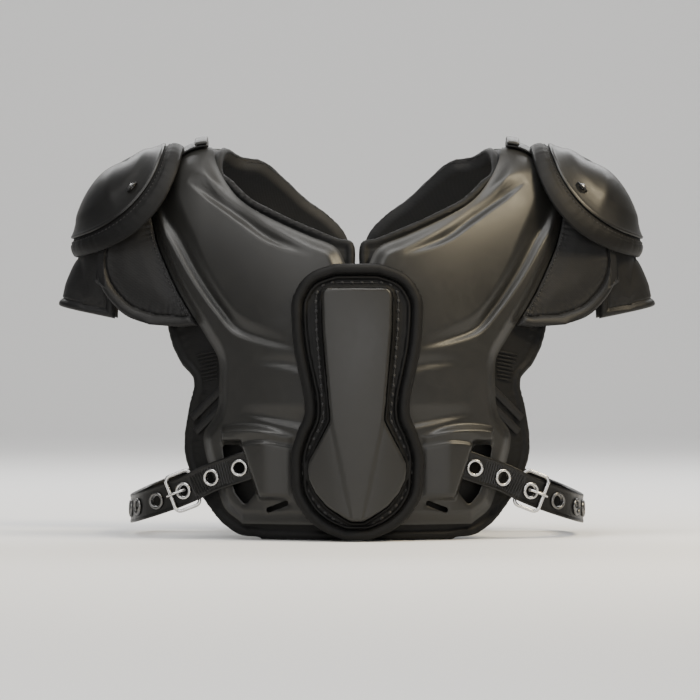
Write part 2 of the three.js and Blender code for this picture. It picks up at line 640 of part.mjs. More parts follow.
function armFlap() {
  const acrossSteps = 10;
  const downSteps = 5;
  const centre = HALF_WIDTH - ARM_FLAP_BOTTOM_REACH;
  const hem = cupEnd.z - ARM_FLAP_HANG;
  const face = (out) =>
    Array.from({ length: downSteps + 1 }, (_, r) =>
      Array.from({ length: acrossSteps + 1 }, (_, c) => {
        const angle = THREE.MathUtils.degToRad(ARM_FLAP_SPREAD) * ((2 * c) / acrossSteps - 1);
        const down = r / downSteps;
        const reach = ARM_FLAP_TOP_REACH + down * (ARM_FLAP_BOTTOM_REACH - ARM_FLAP_TOP_REACH) - out;
        const x = centre + reach * Math.cos(angle);
        const y = (ARM_FLAP_HALF_DEPTH - out) * Math.sin(angle);
        const top = cupPadUnderside(x, y) + CUP_PAD_THICK / 2;
        return new THREE.Vector3(x, y, top + down * (hem - top));
      }),
    );
  return cutAway(sheetGeometry(face(FLAP_THICK), face(0)), [cupRoom()]);
}

// Strap across the ridge, from the plates' inner edge to under the cup's padding.
const strapOff = GAP + PLATE_THICK + GAP + RIDGE_STRAP_LIFT;
const strapIn = plateTopIn + RIDGE_STRAP_IN_SEAT;
const strapOut = plateTopOut - RIDGE_STRAP_OUT_SEAT;

function ridgeStrap() {
  const start = Math.PI / 2 - THREE.MathUtils.degToRad(RIDGE_STRAP_TURN);
  const end = Math.PI / 2 + THREE.MathUtils.degToRad(RIDGE_STRAP_TURN);
  const rows = [start, (start + end) / 2, end].map((turn) => ({
    inX: strapIn,
    outX: strapOut,
    inTurn: turn,
    outTurn: turn,
  }));
  const strap = bodySheet(rows, 5, 8, () => strapOff, () => strapOff + RIDGE_STRAP_THICK);
  return cutAway(strap, [cupRoom()]);
}

// Flat loop that holds the strap's inner end.
function strapKeeper() {
  const start = Math.PI / 2 - THREE.MathUtils.degToRad(RIDGE_STRAP_TURN);
  const end = Math.PI / 2 + THREE.MathUtils.degToRad(RIDGE_STRAP_TURN);
  const rows = [start, end].map((turn) => ({
    inX: strapIn + GAP,
    outX: strapIn + GAP + KEEPER_WIDTH,
    inTurn: turn,
    outTurn: turn,
  }));
  const low = strapOff + RIDGE_STRAP_THICK + GAP;
  return bodySheet(rows, 2, 8, () => low, () => low + KEEPER_THICK);
}

// Sternum guard, across the centre line. half is signed, so the sheet is laid out on both sides.
function onFront(x, z, off) {
  const reach = Math.abs(x);
  const point = onBody(reach, turnOf(z / ridgeAt(reach), false), off);
  point.x *= Math.sign(x) || 1;
  return point;
}

const guardOff = GAP + PLATE_RISE + PLATE_THICK + GAP;

function guardSheet(key, inset, acrossSteps, alongSteps, low, high) {
  const face = (off) =>
    Array.from({ length: alongSteps + 1 }, (_, r) =>
      Array.from({ length: acrossSteps + 1 }, (_, c) => {
        const down = inset + (r / alongSteps) * (1 - 2 * inset);
        const across = (2 * c) / acrossSteps - 1;
        const half = column(GUARD_ROWS, key, down) * GUARD_HALF_WIDTH;
        return onFront(across * half, column(GUARD_ROWS, "at", down) * GUARD_TOP, off(across, down, half));
      }),
    );
  return sheetGeometry(face(low), face(high));
}

function sternumPad() {
  return guardSheet("pad", 0, 8, 18, () => guardOff, () => guardOff + GUARD_THICK);
}

function sternumPlate() {
  const seat = guardOff + GUARD_THICK + GAP;
  const high = (across, down, half) => {
    const side = smooth(((1 - Math.abs(across)) * half) / GUARD_PLATE_SLOPE);
    return seat + GUARD_PLATE_EDGE + (GUARD_PLATE_RISE - GUARD_PLATE_EDGE) * side;
  };
  return guardSheet("plate", GUARD_PLATE_INSET, 8, 15, () => seat, high);
}

// Laced strip over the back plates' inner edges.
function backStrip() {
  const face = (off) =>
    Array.from({ length: 5 }, (_, r) =>
      Array.from({ length: 7 }, (_, c) => {
        const up = BACK_STRIP_LOW + (r / 4) * (BACK_STRIP_HIGH - BACK_STRIP_LOW);
        const x = ((2 * c) / 6 - 1) * BACK_STRIP_HALF_WIDTH;
        const point = onBody(Math.abs(x), turnOf(up, true), off);
        point.x = x;
        return point;
      }),
    );
  const seat = guardOff - BACK_STRIP_SETTLE;
  return sheetGeometry(face(seat), face(seat + BACK_STRIP_THICK));
}

// The belt's line: tucked under the chest plate's panel, out of the window, round the side, onto the back plate.
const beltReach = HALF_WIDTH - BELT_INSET;
const beltTuck = Math.min(...WINDOW.map(([x]) => x)) * HALF_WIDTH - BELT_TUCK;
const beltHeight = (x) => BELT_LOW + BELT_PITCH * (beltReach - x);

function beltSpot(x, off, back) {
  const z = beltHeight(x);
  const point = onBody(x, turnOf(z / ridgeAt(x), back), off);
  return new THREE.Vector3(point.x, point.y, z);
}

const beltOver = guardOff + BELT_THICK / 2;
const frontClear = beltSpot(BELT_ROUTE.frontLeave * HALF_WIDTH, beltOver + BELT_CLEAR, false);
const backClear = beltSpot(BELT_ROUTE.backLeave * HALF_WIDTH, beltOver + BELT_CLEAR, true);

// A turn of the belt: in from its outermost point, at a share of the depth where it leaves the plates.
const beltTurn = (inset, share, clear) =>
  new THREE.Vector3(beltReach - inset, share * clear.y, beltHeight(beltReach - inset));

const BELT_LINE = new THREE.CatmullRomCurve3([
  beltSpot(beltTuck, BELT_TUCK_OFF, false),
  beltSpot(beltTuck + BELT_LIFT_RUN, BELT_LIFT_OFF, false),
  frontClear,
  beltTurn(BELT_SIDE_IN, BELT_ROUTE.side, frontClear),
  beltTurn(BELT_CORNER_IN, BELT_ROUTE.corner, frontClear),
  new THREE.Vector3(beltReach, -BELT_FORWARD, BELT_LOW),
  beltTurn(BELT_CORNER_IN, BELT_ROUTE.corner, backClear),
  beltTurn(BELT_SIDE_IN, BELT_ROUTE.side, backClear),
  backClear,
  beltSpot(beltTuck + BELT_END_RUN, beltOver, true),
]);
const beltLength = BELT_LINE.getLength();

// Place, direction, width direction and outward direction at a length along the belt.
function beltFrame(length) {
  const share = length / beltLength;
  const at = BELT_LINE.getPointAt(share);
  const along = BELT_LINE.getTangentAt(share);
  const out = new THREE.Vector3(-along.y, along.x, 0).normalize().negate();
  const wide = out.clone().cross(along).normalize();
  return { at, along, wide, out: along.clone().cross(wide).normalize() };
}

const eyeletPlaces = Array.from({ length: EYELET_COUNT }, (_, i) => EYELET_START + i * EYELET_SPACING);

function beltMatrix(length, off) {
  const { at, along, wide, out } = beltFrame(length);
  const matrix = new THREE.Matrix4().makeBasis(along, wide, along.clone().cross(wide));
  matrix.setPosition(at.clone().addScaledVector(out, off));
  return matrix;
}

function sideBelt() {
  const steps = 34;
  const face = (off) =>
    Array.from({ length: steps + 1 }, (_, r) =>
      [-1, 1].map((side) => {
        const { at, wide, out } = beltFrame((r / steps) * beltLength);
        return at.clone().addScaledVector(wide, (side * BELT_WIDTH) / 2).addScaledVector(out, off);
      }),
    );
  const strap = sheetGeometry(face(-BELT_THICK / 2), face(BELT_THICK / 2));
  const holes = eyeletPlaces.map((length) => {
    const radius = EYELET_HOLE / 2 + EYELET_WALL + GAP;
    const hole = new THREE.CylinderGeometry(radius, radius, 6 * BELT_THICK, 8);
    return hole.rotateX(Math.PI / 2).applyMatrix4(beltMatrix(length, 0));
  });
  return cutAway(strap, holes);
}

// Metal eyelet: a barrel through the belt and a flange on its outer face.
function eyelet(length) {
  const inner = EYELET_HOLE / 2;
  const flangeLow = BELT_THICK / 2 + 3 * GAP;
  const profile = [
    [inner, -BELT_THICK / 2],
    [inner + EYELET_WALL, -BELT_THICK / 2],
    [inner + EYELET_WALL, flangeLow],
    [EYELET_FLANGE / 2, flangeLow],
    [inner, flangeLow + EYELET_FLANGE_THICK],
    [inner, -BELT_THICK / 2],
  ].map(([r, h]) => new THREE.Vector2(r, h));
  const ring = new THREE.LatheGeometry(profile, 8);
  return ring.rotateX(Math.PI / 2).applyMatrix4(beltMatrix(length, 0));
}

// Buckle: a wire frame whose inner bar lies under the belt and whose outer bar lies over it.
const buckleAt = eyeletPlaces[2] + 1;
const barOff = (BELT_THICK + BUCKLE_WIRE) / 2 + 2.5 * GAP;

// Middle of a bar: side -1 is the inner one, under the belt, and 1 the outer one, over it.
function barMiddle(side) {
  const { at, out } = beltFrame(buckleAt + (side * BUCKLE_LENGTH) / 2);
  return at.clone().addScaledVector(out, side * barOff);
}

// The frame's own axes: along from bar to bar, across the belt, and off its face.
function buckleMatrix() {
  const [inner, outer] = [barMiddle(-1), barMiddle(1)];
  const along = outer.clone().sub(inner).normalize();
  const wide = beltFrame(buckleAt).wide;
  wide.addScaledVector(along, -wide.dot(along)).normalize();
  const matrix = new THREE.Matrix4().makeBasis(along, wide, along.clone().cross(wide));
  return matrix.setPosition(inner.add(outer).multiplyScalar(0.5));
}

function buckle() {
  const path = [];
  const [halfLength, halfWidth] = [BUCKLE_LENGTH / 2, BUCKLE_WIDTH / 2];
  const corners = [
    [1, 1],
    [-1, 1],
    [-1, -1],
    [1, -1],
  ];
  for (const [quarter, [signLength, signWidth]] of corners.entries()) {
    for (const turn of [0, 0.5, 1]) {
      const angle = ((quarter + turn) * Math.PI) / 2;
      path.push(
        new THREE.Vector3(
          signLength * (halfLength - BUCKLE_CORNER) + BUCKLE_CORNER * Math.cos(angle),
          signWidth * (halfWidth - BUCKLE_CORNER) + BUCKLE_CORNER * Math.sin(angle),
          0,
        ),
      );
    }
  }
  return wireGeometry(path, BUCKLE_WIRE, 6, true).applyMatrix4(buckleMatrix());
}

// Prong: from on top of the outer bar down into the third eyelet.
function prong() {
  const over = (BUCKLE_WIRE + PRONG_WIRE) / 2 + 2 * GAP;
  const bar = BUCKLE_LENGTH / 2;
  const path = PRONG_ROUTE.map((spot) => new THREE.Vector3(spot.bar * bar + spot.out * over, 0, spot.up * over));
  return wireGeometry(path, PRONG_WIRE, 6, false).applyMatrix4(buckleMatrix());
}

const group = new THREE.Group();

function addPiece(name, finish, geometry) {
  geometry.computeVertexNormals();
  const mesh = new THREE.Mesh(geometry, new THREE.MeshStandardMaterial(MATERIALS[finish]));
  mesh.name = name;
  group.add(mesh);
}

// The same shape on the other side of the centre line.
function mirrored(geometry) {
  const copy = geometry.clone().scale(-1, 1, 1);
  if (!copy.index) copy.setIndex([...Array(copy.attributes.position.count).keys()]);
  const index = copy.index.array;
  for (let i = 0; i < index.length; i += 3) [index[i + 1], index[i + 2]] = [index[i + 2], index[i + 1]];
  return copy;
}

function addPair(name, finish, geometry) {
  addPiece(name + "_right", finish, geometry);
  addPiece(name + "_left", finish, mirrored(geometry));
}

addPair("body_liner", "fabric", bodyLiner());
addPair("chest_plate", "shell", chestPlate());
addPair("back_plate", "shell", backPlate());
addPair("front_flap", "fabric", armSideFlap(CHEST_ROWS, false));
addPair("back_flap", "fabric", armSideFlap(BACK_ROWS, true));
addPair("arm_flap", "fabric", armFlap());
addPair("cup_pad", "fabric", cupPad());
addPair("shoulder_cup", "cup", shoulderCup());
addPair("ridge_strap", "webbing", ridgeStrap());
addPair("strap_keeper", "shell", strapKeeper());
addPair("side_belt", "webbing", sideBelt());
addPair("buckle", "metal", buckle());
addPair("buckle_prong", "metal", prong());
eyeletPlaces.forEach((length, i) => addPair("eyelet_" + (i + 1), "metal", eyelet(length)));
addPiece("sternum_pad", "fabric", sternumPad());
addPiece("sternum_plate", "shell", sternumPlate());
addPiece("back_strip", "webbing", backStrip());

// The origin is on the floor under the middle of the outline.
const box = new THREE.Box3().setFromObject(group);
group.position.set(0, -(box.min.y + box.max.y) / 2, -box.min.z);

export default group;
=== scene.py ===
"""Football shoulder pad: the looks of every piece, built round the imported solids.

Lengths are millimetres until a mesh is made, and then metres. The right half is worked out and the left
one mirrored. Places on the padding are a distance out from the centre line and a turn, which runs from 0 at
the front's foot over the shoulder ridge at a quarter turn to the back's foot at a half turn.
"""

import copy
import logging
import math
from dataclasses import dataclass, field
from enum import Enum
from typing import Callable

import bpy
import numpy as np
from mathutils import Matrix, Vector


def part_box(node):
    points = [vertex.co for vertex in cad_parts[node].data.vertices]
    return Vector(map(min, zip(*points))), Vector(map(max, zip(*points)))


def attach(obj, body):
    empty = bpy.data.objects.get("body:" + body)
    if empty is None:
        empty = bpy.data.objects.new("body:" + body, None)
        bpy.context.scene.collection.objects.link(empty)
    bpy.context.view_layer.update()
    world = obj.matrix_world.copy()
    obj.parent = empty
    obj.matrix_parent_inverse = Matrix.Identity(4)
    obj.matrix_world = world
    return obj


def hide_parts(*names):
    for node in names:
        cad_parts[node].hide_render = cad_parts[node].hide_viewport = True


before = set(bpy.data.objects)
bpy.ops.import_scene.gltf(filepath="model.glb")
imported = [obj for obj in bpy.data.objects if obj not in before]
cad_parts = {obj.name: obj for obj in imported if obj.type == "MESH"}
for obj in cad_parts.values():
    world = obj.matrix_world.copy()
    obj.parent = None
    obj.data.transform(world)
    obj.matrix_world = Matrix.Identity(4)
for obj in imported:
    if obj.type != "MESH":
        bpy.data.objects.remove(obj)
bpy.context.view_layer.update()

LOG = logging.getLogger("shoulder_pad")
Array = np.ndarray
MM = 0.001
RIM_SAMPLES = 300
BEAD_SIDES = 8
BEAD_RINGS = (-40.0, 0.0, 35.0, 65.0)
BEAD_FOOT = -0.7
SHARP_ANGLE = 48.0
BEVEL_ANGLE = 55.0
THREAD_TURN = 6.28
SIDES = (("right", False), ("left", True))


def smooth(t: Array) -> Array:
    """Share from 0 to 1 with level ends: 3 t squared minus 2 t cubed, held outside.

    Args:
        t: Any numbers.

    Returns:
        The eased numbers.
    """
    s = np.clip(t, 0.0, 1.0)
    return s * s * (3.0 - 2.0 * s)


def round_edge(distance: Array, radius: float) -> Array:
    """Share of full thickness at a distance in from a rounded edge: a quarter circle.

    Args:
        distance: Distances in from the edge.
        radius: Distance at which the full thickness is reached.

    Returns:
        Shares from 0 at the edge to 1.
    """
    return np.sqrt(np.clip(1.0 - (1.0 - np.clip(distance / radius, 0.0, 1.0)) ** 2, 0.0, 1.0))


def roll(distance: Array, centre: float, radius: float) -> Array:
    """Height of a half round bead that lies at a distance from the edge: the upper half of a circle.

    Args:
        distance: Distances in from the edge.
        centre: Distance of the bead's middle.
        radius: The bead's radius.

    Returns:
        Heights, 0 outside the bead.
    """
    return np.sqrt(np.clip(radius**2 - (distance - centre) ** 2, 0.0, None))


def gathers(run: Array, pitch: float) -> Array:
    """Uneven folds along an edge: two sine waves whose lengths share no multiple, from -1 to 1.

    Args:
        run: Lengths along the edge.
        pitch: Length of the longer wave.

    Returns:
        Heights of the folds.
    """
    turn = 2.0 * math.pi * run / pitch
    return 0.6 * np.sin(turn + 0.8 * np.sin(0.21 * turn)) + 0.4 * np.sin(1.618 * turn + 1.3)


def crowded(count: int, share: float = 0.85) -> Array:
    """Steps from 0 to 1 that crowd towards both ends: t minus a share of sin(2 pi t) / 2 pi.

    Args:
        count: Number of spans.
        share: How strongly they crowd.

    Returns:
        count + 1 rising numbers.
    """
    t = np.linspace(0.0, 1.0, count + 1)
    return t - share * np.sin(2.0 * math.pi * t) / (2.0 * math.pi)


def unit(vectors: Array) -> Array:
    """Vectors brought to length one."""
    return vectors / np.maximum(np.linalg.norm(vectors, axis=-1, keepdims=True), 1e-9)


def run_lengths(path: Array) -> Array:
    """Length along a path at each of its points, from 0."""
    steps = np.linalg.norm(np.diff(path, axis=0), axis=1)
    return np.concatenate([[0.0], np.cumsum(steps)])


def even_path(path: Array, spacing: float) -> Array:
    """The same path with evenly spaced points.

    Args:
        path: Points in order.
        spacing: Distance wanted between points.

    Returns:
        Points on the straight pieces between the given ones, ends included.
    """
    run = run_lengths(path)
    count = max(2, int(round(run[-1] / spacing)) + 1)
    wanted = np.linspace(0.0, run[-1], count)
    return np.stack([np.interp(wanted, run, path[:, axis]) for axis in range(path.shape[1])], axis=1)


def nearest(points: Array, path: Array) -> tuple[Array, Array]:
    """Distance from each point to a dense path, and the path length of the closest spot.

    Args:
        points: Grid of points, last axis x, y and z.
        path: Points of the path, about a millimetre apart.

    Returns:
        Distances, and lengths along the path, in the grid's shape.
    """
    flat = points.reshape(-1, 3)
    run = run_lengths(path)
    away, where = [], []
    for chunk in np.array_split(flat, max(1, len(flat) // 4000)):
        squares = ((chunk[:, None, :] - path[None, :, :]) ** 2).sum(axis=2)
        closest = squares.argmin(axis=1)
        away.append(np.sqrt(squares[np.arange(len(chunk)), closest]))
        where.append(run[closest])
    shape = points.shape[:-1]
    return np.concatenate(away).reshape(shape), np.concatenate(where).reshape(shape)


def curve_through(points: Array, per_span: int = 24) -> Array:
    """Centripetal Catmull-Rom curve through points: cubic spans whose knots are spaced by root chord lengths.

    Args:
        points: The points, in order.
        per_span: Samples in each span.

    Returns:
        Samples of the curve, ends included.
    """
    padded = np.vstack([2 * points[0] - points[1], points, 2 * points[-1] - points[-2]])
    knots = np.sqrt(np.linalg.norm(np.diff(padded, axis=0), axis=1))
    before, span, after = knots[:-2, None, None], knots[1:-1, None, None], knots[2:, None, None]
    p0, p1, p2, p3 = (padded[i : i + len(points) - 1][:, None, :] for i in range(4))
    start = ((p1 - p0) / before - (p2 - p0) / (before + span) + (p2 - p1) / span) * span
    end = ((p2 - p1) / span - (p3 - p1) / (span + after) + (p3 - p2) / after) * span
    t = np.linspace(0.0, 1.0, per_span, endpoint=False)[None, :, None]
    cubic = p1 + start * t + (3 * (p2 - p1) - 2 * start - end) * t**2 + (2 * (p1 - p2) + start + end) * t**3
    return np.vstack([cubic.reshape(-1, 3), points[-1]])


@dataclass(frozen=True)
class Form:
    """Outer surface of the padding and the clearances that every piece keeps."""

    half_width: float = 270.0
    ridge_height: float = 348.0
    chest_depth: float = 138.0
    side_depth: float = 28.0
    back_share: float = 0.88
    arch_reach: float = 290.0
    arch_power: float = 3.5
    slope_start: float = 135.0
    slope_round: float = 25.0
    gap: float = 0.35
    liner_thick: float = 13.0
    plate_thick: float = 2.8
    plate_rise: float = 6.0
    guard_thick: float = 11.0

    @property
    def guard_off(self) -> float:
        """How far off the padding the sternum guard's back lies."""
        return self.gap + self.plate_rise + self.plate_thick + self.gap

    def depth(self, x: Array) -> Array:
        """Depth of the padding's front at a distance out: half a cosine wave down to the side depth."""
        wave = (1.0 + np.cos(math.pi * np.minimum(x, self.arch_reach) / self.arch_reach)) / 2.0
        return self.side_depth + (self.chest_depth - self.side_depth) * wave

    def ridge(self, x: Array) -> Array:
        """Height of the shoulder ridge at a distance out: level, then falling along a rounded corner."""
        past = np.maximum(0.0, x - self.slope_start)
        return self.ridge_height - (np.hypot(past, self.slope_round) - self.slope_round)

    def turn_of(self, up: Array, back: bool) -> Array:
        """Turn at which the surface reaches a share of its ridge height, on the front or the back."""
        turn = np.arcsin(np.clip(up, 0.0, 1.0) ** (self.arch_power / 2.0))
        return math.pi - turn if back else turn

    def on_body(self, x: Array, turn: Array, off: Array = 0.0, hang: float = math.inf) -> Array:
        """Point of the padding, moved off it along its normal.

        The section is a superellipse: y is minus depth times cos turn, and z the ridge height times sin turn
        to the power 2 / arch_power. The normal is the gradient of that section's equation.

        Args:
            x: Distances out.
            turn: Turns.
            off: Distances off the surface.
            hang: Distance out past which the ridge height stays the same.

        Returns:
            Points, last axis x, y and z.
        """
        x, turn, off = np.broadcast_arrays(
            np.asarray(x, float), np.asarray(turn, float), np.asarray(off, float)
        )
        ridge_x = np.minimum(x, hang)
        share = np.where(turn > math.pi / 2, self.back_share, 1.0)
        reach = share * self.depth(x)
        ridge = self.ridge(ridge_x)
        y = -reach * np.cos(turn)
        z = ridge * np.clip(np.sin(turn), 0.0, None) ** (2.0 / self.arch_power)
        past = np.maximum(0.0, ridge_x - self.slope_start)
        ridge_slope = np.where(ridge_x < x, 0.0, -past / np.hypot(past, self.slope_round))
        swing = np.sin(math.pi * np.minimum(x, self.arch_reach) / self.arch_reach)
        depth_slope = -(self.chest_depth - self.side_depth) * share * math.pi * swing / (2 * self.arch_reach)
        climb = (z / ridge) ** self.arch_power
        normal = np.stack(
            [
                -2 * y * y * depth_slope / reach**3 - self.arch_power * climb * ridge_slope / ridge,
                2 * y / reach**2,
                self.arch_power * climb / np.maximum(z, 1e-6),
            ],
            axis=-1,
        )
        return np.stack([x, y, z], axis=-1) + unit(normal) * off[..., None]

    def on_face(self, x: Array, z: Array, off: Array = 0.0, back: bool = False) -> Array:
        """Point of the front or back at a signed distance across and a height, moved off the surface."""
        x, z = np.broadcast_arrays(np.asarray(x, float), np.asarray(z, float))
        reach = np.abs(x)
        points = self.on_body(reach, self.turn_of(z / self.ridge(reach), back), off).copy()
        points[..., 0] *= np.where(x < 0, -1.0, 1.0)
        return points


FORM = Form()


def through_rows(values: Array, share: Array) -> Array:
    """Value at shares of the way along a column: a uniform Catmull-Rom curve through its rows.

    Args:
        values: The column, one value for each row.
        share: Shares of the way from the first row to the last.

    Returns:
        Values, in the shape of the shares.
    """
    padded = np.concatenate([[2 * values[0] - values[1]], values, [2 * values[-1] - values[-2]]])
    place = np.clip(share, 0.0, 1.0) * (len(values) - 1)
    i = np.minimum(np.floor(place).astype(int), len(values) - 2)
    t = place - i
    p0, p1, p2, p3 = (padded[i + k] for k in range(4))
    bend = (2 * p0 - 5 * p1 + 4 * p2 - p3) * t * t + (3 * p1 - p0 - 3 * p2 + p3) * t**3
    return p1 + 0.5 * ((p2 - p0) * t + bend)


class Outline:
    """Patch of the padding between two edges given by a table of rows.

    Each row holds the inner and outer edges' distances out, as shares of the half width, and their heights,
    as shares of the ridge height there. A smooth curve passes through the rows.
    """

    def __init__(self, rows: list[tuple[float, float, float, float]], back: bool = False) -> None:
        """Rows turned into distances out and turns."""
        table = np.array(rows, float)
        self.hang = math.inf
        self.values = np.stack(
            [
                table[:, 0] * FORM.half_width,
                table[:, 2] * FORM.half_width,
                FORM.turn_of(table[:, 1], back),
                FORM.turn_of(table[:, 3], back),
            ],
            axis=1,
        )

    def column(self, key: int, share: Array) -> Array:
        """Value of a column at shares of the way along."""
        return through_rows(self.values[:, key], share)

    def span(self, across: Array, along: Array) -> tuple[Array, Array, Array]:
        """Distance out, turn and width between the edges at shares across and along."""
        in_x, out_x, in_turn, out_turn = (self.column(key, along) for key in range(4))
        return in_x + across * (out_x - in_x), in_turn + across * (out_turn - in_turn), out_x - in_x

    def at(self, across: Array, along: Array, off: Array = 0.0) -> Array:
        """Points at shares across and along, moved off the padding."""
        x, turn, _ = self.span(across, along)
        return FORM.on_body(x, turn, off, self.hang)

    def rim(self, spacing: float = 1.0) -> Array:
        """Closed path round the outline, evenly spaced."""
        t = np.linspace(0.0, 1.0, RIM_SAMPLES)
        zero, one = np.zeros_like(t), np.ones_like(t)
        sides = [self.at(one, t), self.at(1 - t, one), self.at(zero, 1 - t), self.at(t, zero)]
        return even_path(np.vstack(sides), spacing)


# Outlines: inner edge's distance out and height, then the outer edge's, as shares.
CHEST = Outline(
    [
        (0.027, 0.039, 0.37, 0.039),
        (0.027, 0.067, 0.42, 0.07),
        (0.027, 0.103, 0.442, 0.103),
        (0.027, 0.178, 0.478, 0.178),
        (0.027, 0.238, 0.497, 0.238),
        (0.027, 0.274, 0.493, 0.274),
        (0.027, 0.321, 0.455, 0.321),
        (0.027, 0.385, 0.447, 0.385),
        (0.027, 0.455, 0.45, 0.455),
        (0.027, 0.515, 0.493, 0.515),
        (0.027, 0.579, 0.543, 0.58),
        (0.027, 0.644, 0.587, 0.652),
        (0.04, 0.698, 0.623, 0.728),
        (0.073, 0.739, 0.652, 0.8),
        (0.163, 0.768, 0.667, 0.86),
        (0.273, 0.807, 0.675, 0.91),
        (0.367, 0.849, 0.672, 0.95),
        (0.423, 0.895, 0.662, 0.975),
        (0.463, 0.948, 0.65, 0.988),
        (0.483, 0.992, 0.64, 0.993),
    ]
)
BACK = Outline(
    [
        (0.04, 0.06, 0.36, 0.06),
        (0.03, 0.12, 0.44, 0.12),
        (0.03, 0.25, 0.49, 0.25),
        (0.03, 0.4, 0.48, 0.4),
        (0.03, 0.55, 0.53, 0.55),
        (0.04, 0.66, 0.6, 0.68),
        (0.13, 0.78, 0.65, 0.8),
        (0.27, 0.86, 0.675, 0.9),
        (0.39, 0.95, 0.66, 0.97),
        (0.46, 0.99, 0.64, 0.993),
    ],
    back=True,
)
LINER_FRONT = Outline(
    [
        (0.017, 0, 0.317, 0),
        (0.01, 0.018, 0.417, 0.021),
        (0.01, 0.062, 0.48, 0.067),
        (0.01, 0.134, 0.537, 0.134),
        (0.01, 0.212, 0.572, 0.212),
        (0.01, 0.274, 0.572, 0.274),
        (0.01, 0.334, 0.56, 0.334),
        (0.01, 0.403, 0.543, 0.403),
        (0.01, 0.458, 0.587, 0.458),
        (0.01, 0.528, 0.62, 0.528),
        (0.008, 0.605, 0.64, 0.615),
        (0.008, 0.678, 0.663, 0.72),
        (0.012, 0.753, 0.69, 0.81),
        (0.073, 0.77, 0.7, 0.88),
        (0.19, 0.808, 0.705, 0.925),
        (0.283, 0.842, 0.705, 0.955),
        (0.353, 0.872, 0.705, 0.975),
        (0.41, 0.915, 0.7, 0.988),
        (0.45, 0.958, 0.695, 0.996),
    ]
)
LINER_BACK = Outline(
    [
        (0.403, 0.99, 0.695, 0.994),
        (0.317, 0.973, 0.695, 0.978),
        (0.247, 0.929, 0.695, 0.95),
        (0.177, 0.877, 0.69, 0.9),
        (0.097, 0.831, 0.68, 0.84),
        (0.04, 0.781, 0.665, 0.78),
        (0.013, 0.703, 0.645, 0.7),
        (0.01, 0.6, 0.62, 0.6),
        (0.01, 0.45, 0.57, 0.45),
        (0.01, 0.3, 0.54, 0.3),
        (0.01, 0.15, 0.52, 0.15),
        (0.01, 0.05, 0.47, 0.05),
        (0.02, 0, 0.4, 0),
    ],
    back=True,
)
LINER = copy.copy(LINER_FRONT)
LINER.values = np.vstack([LINER_FRONT.values, LINER_BACK.values])


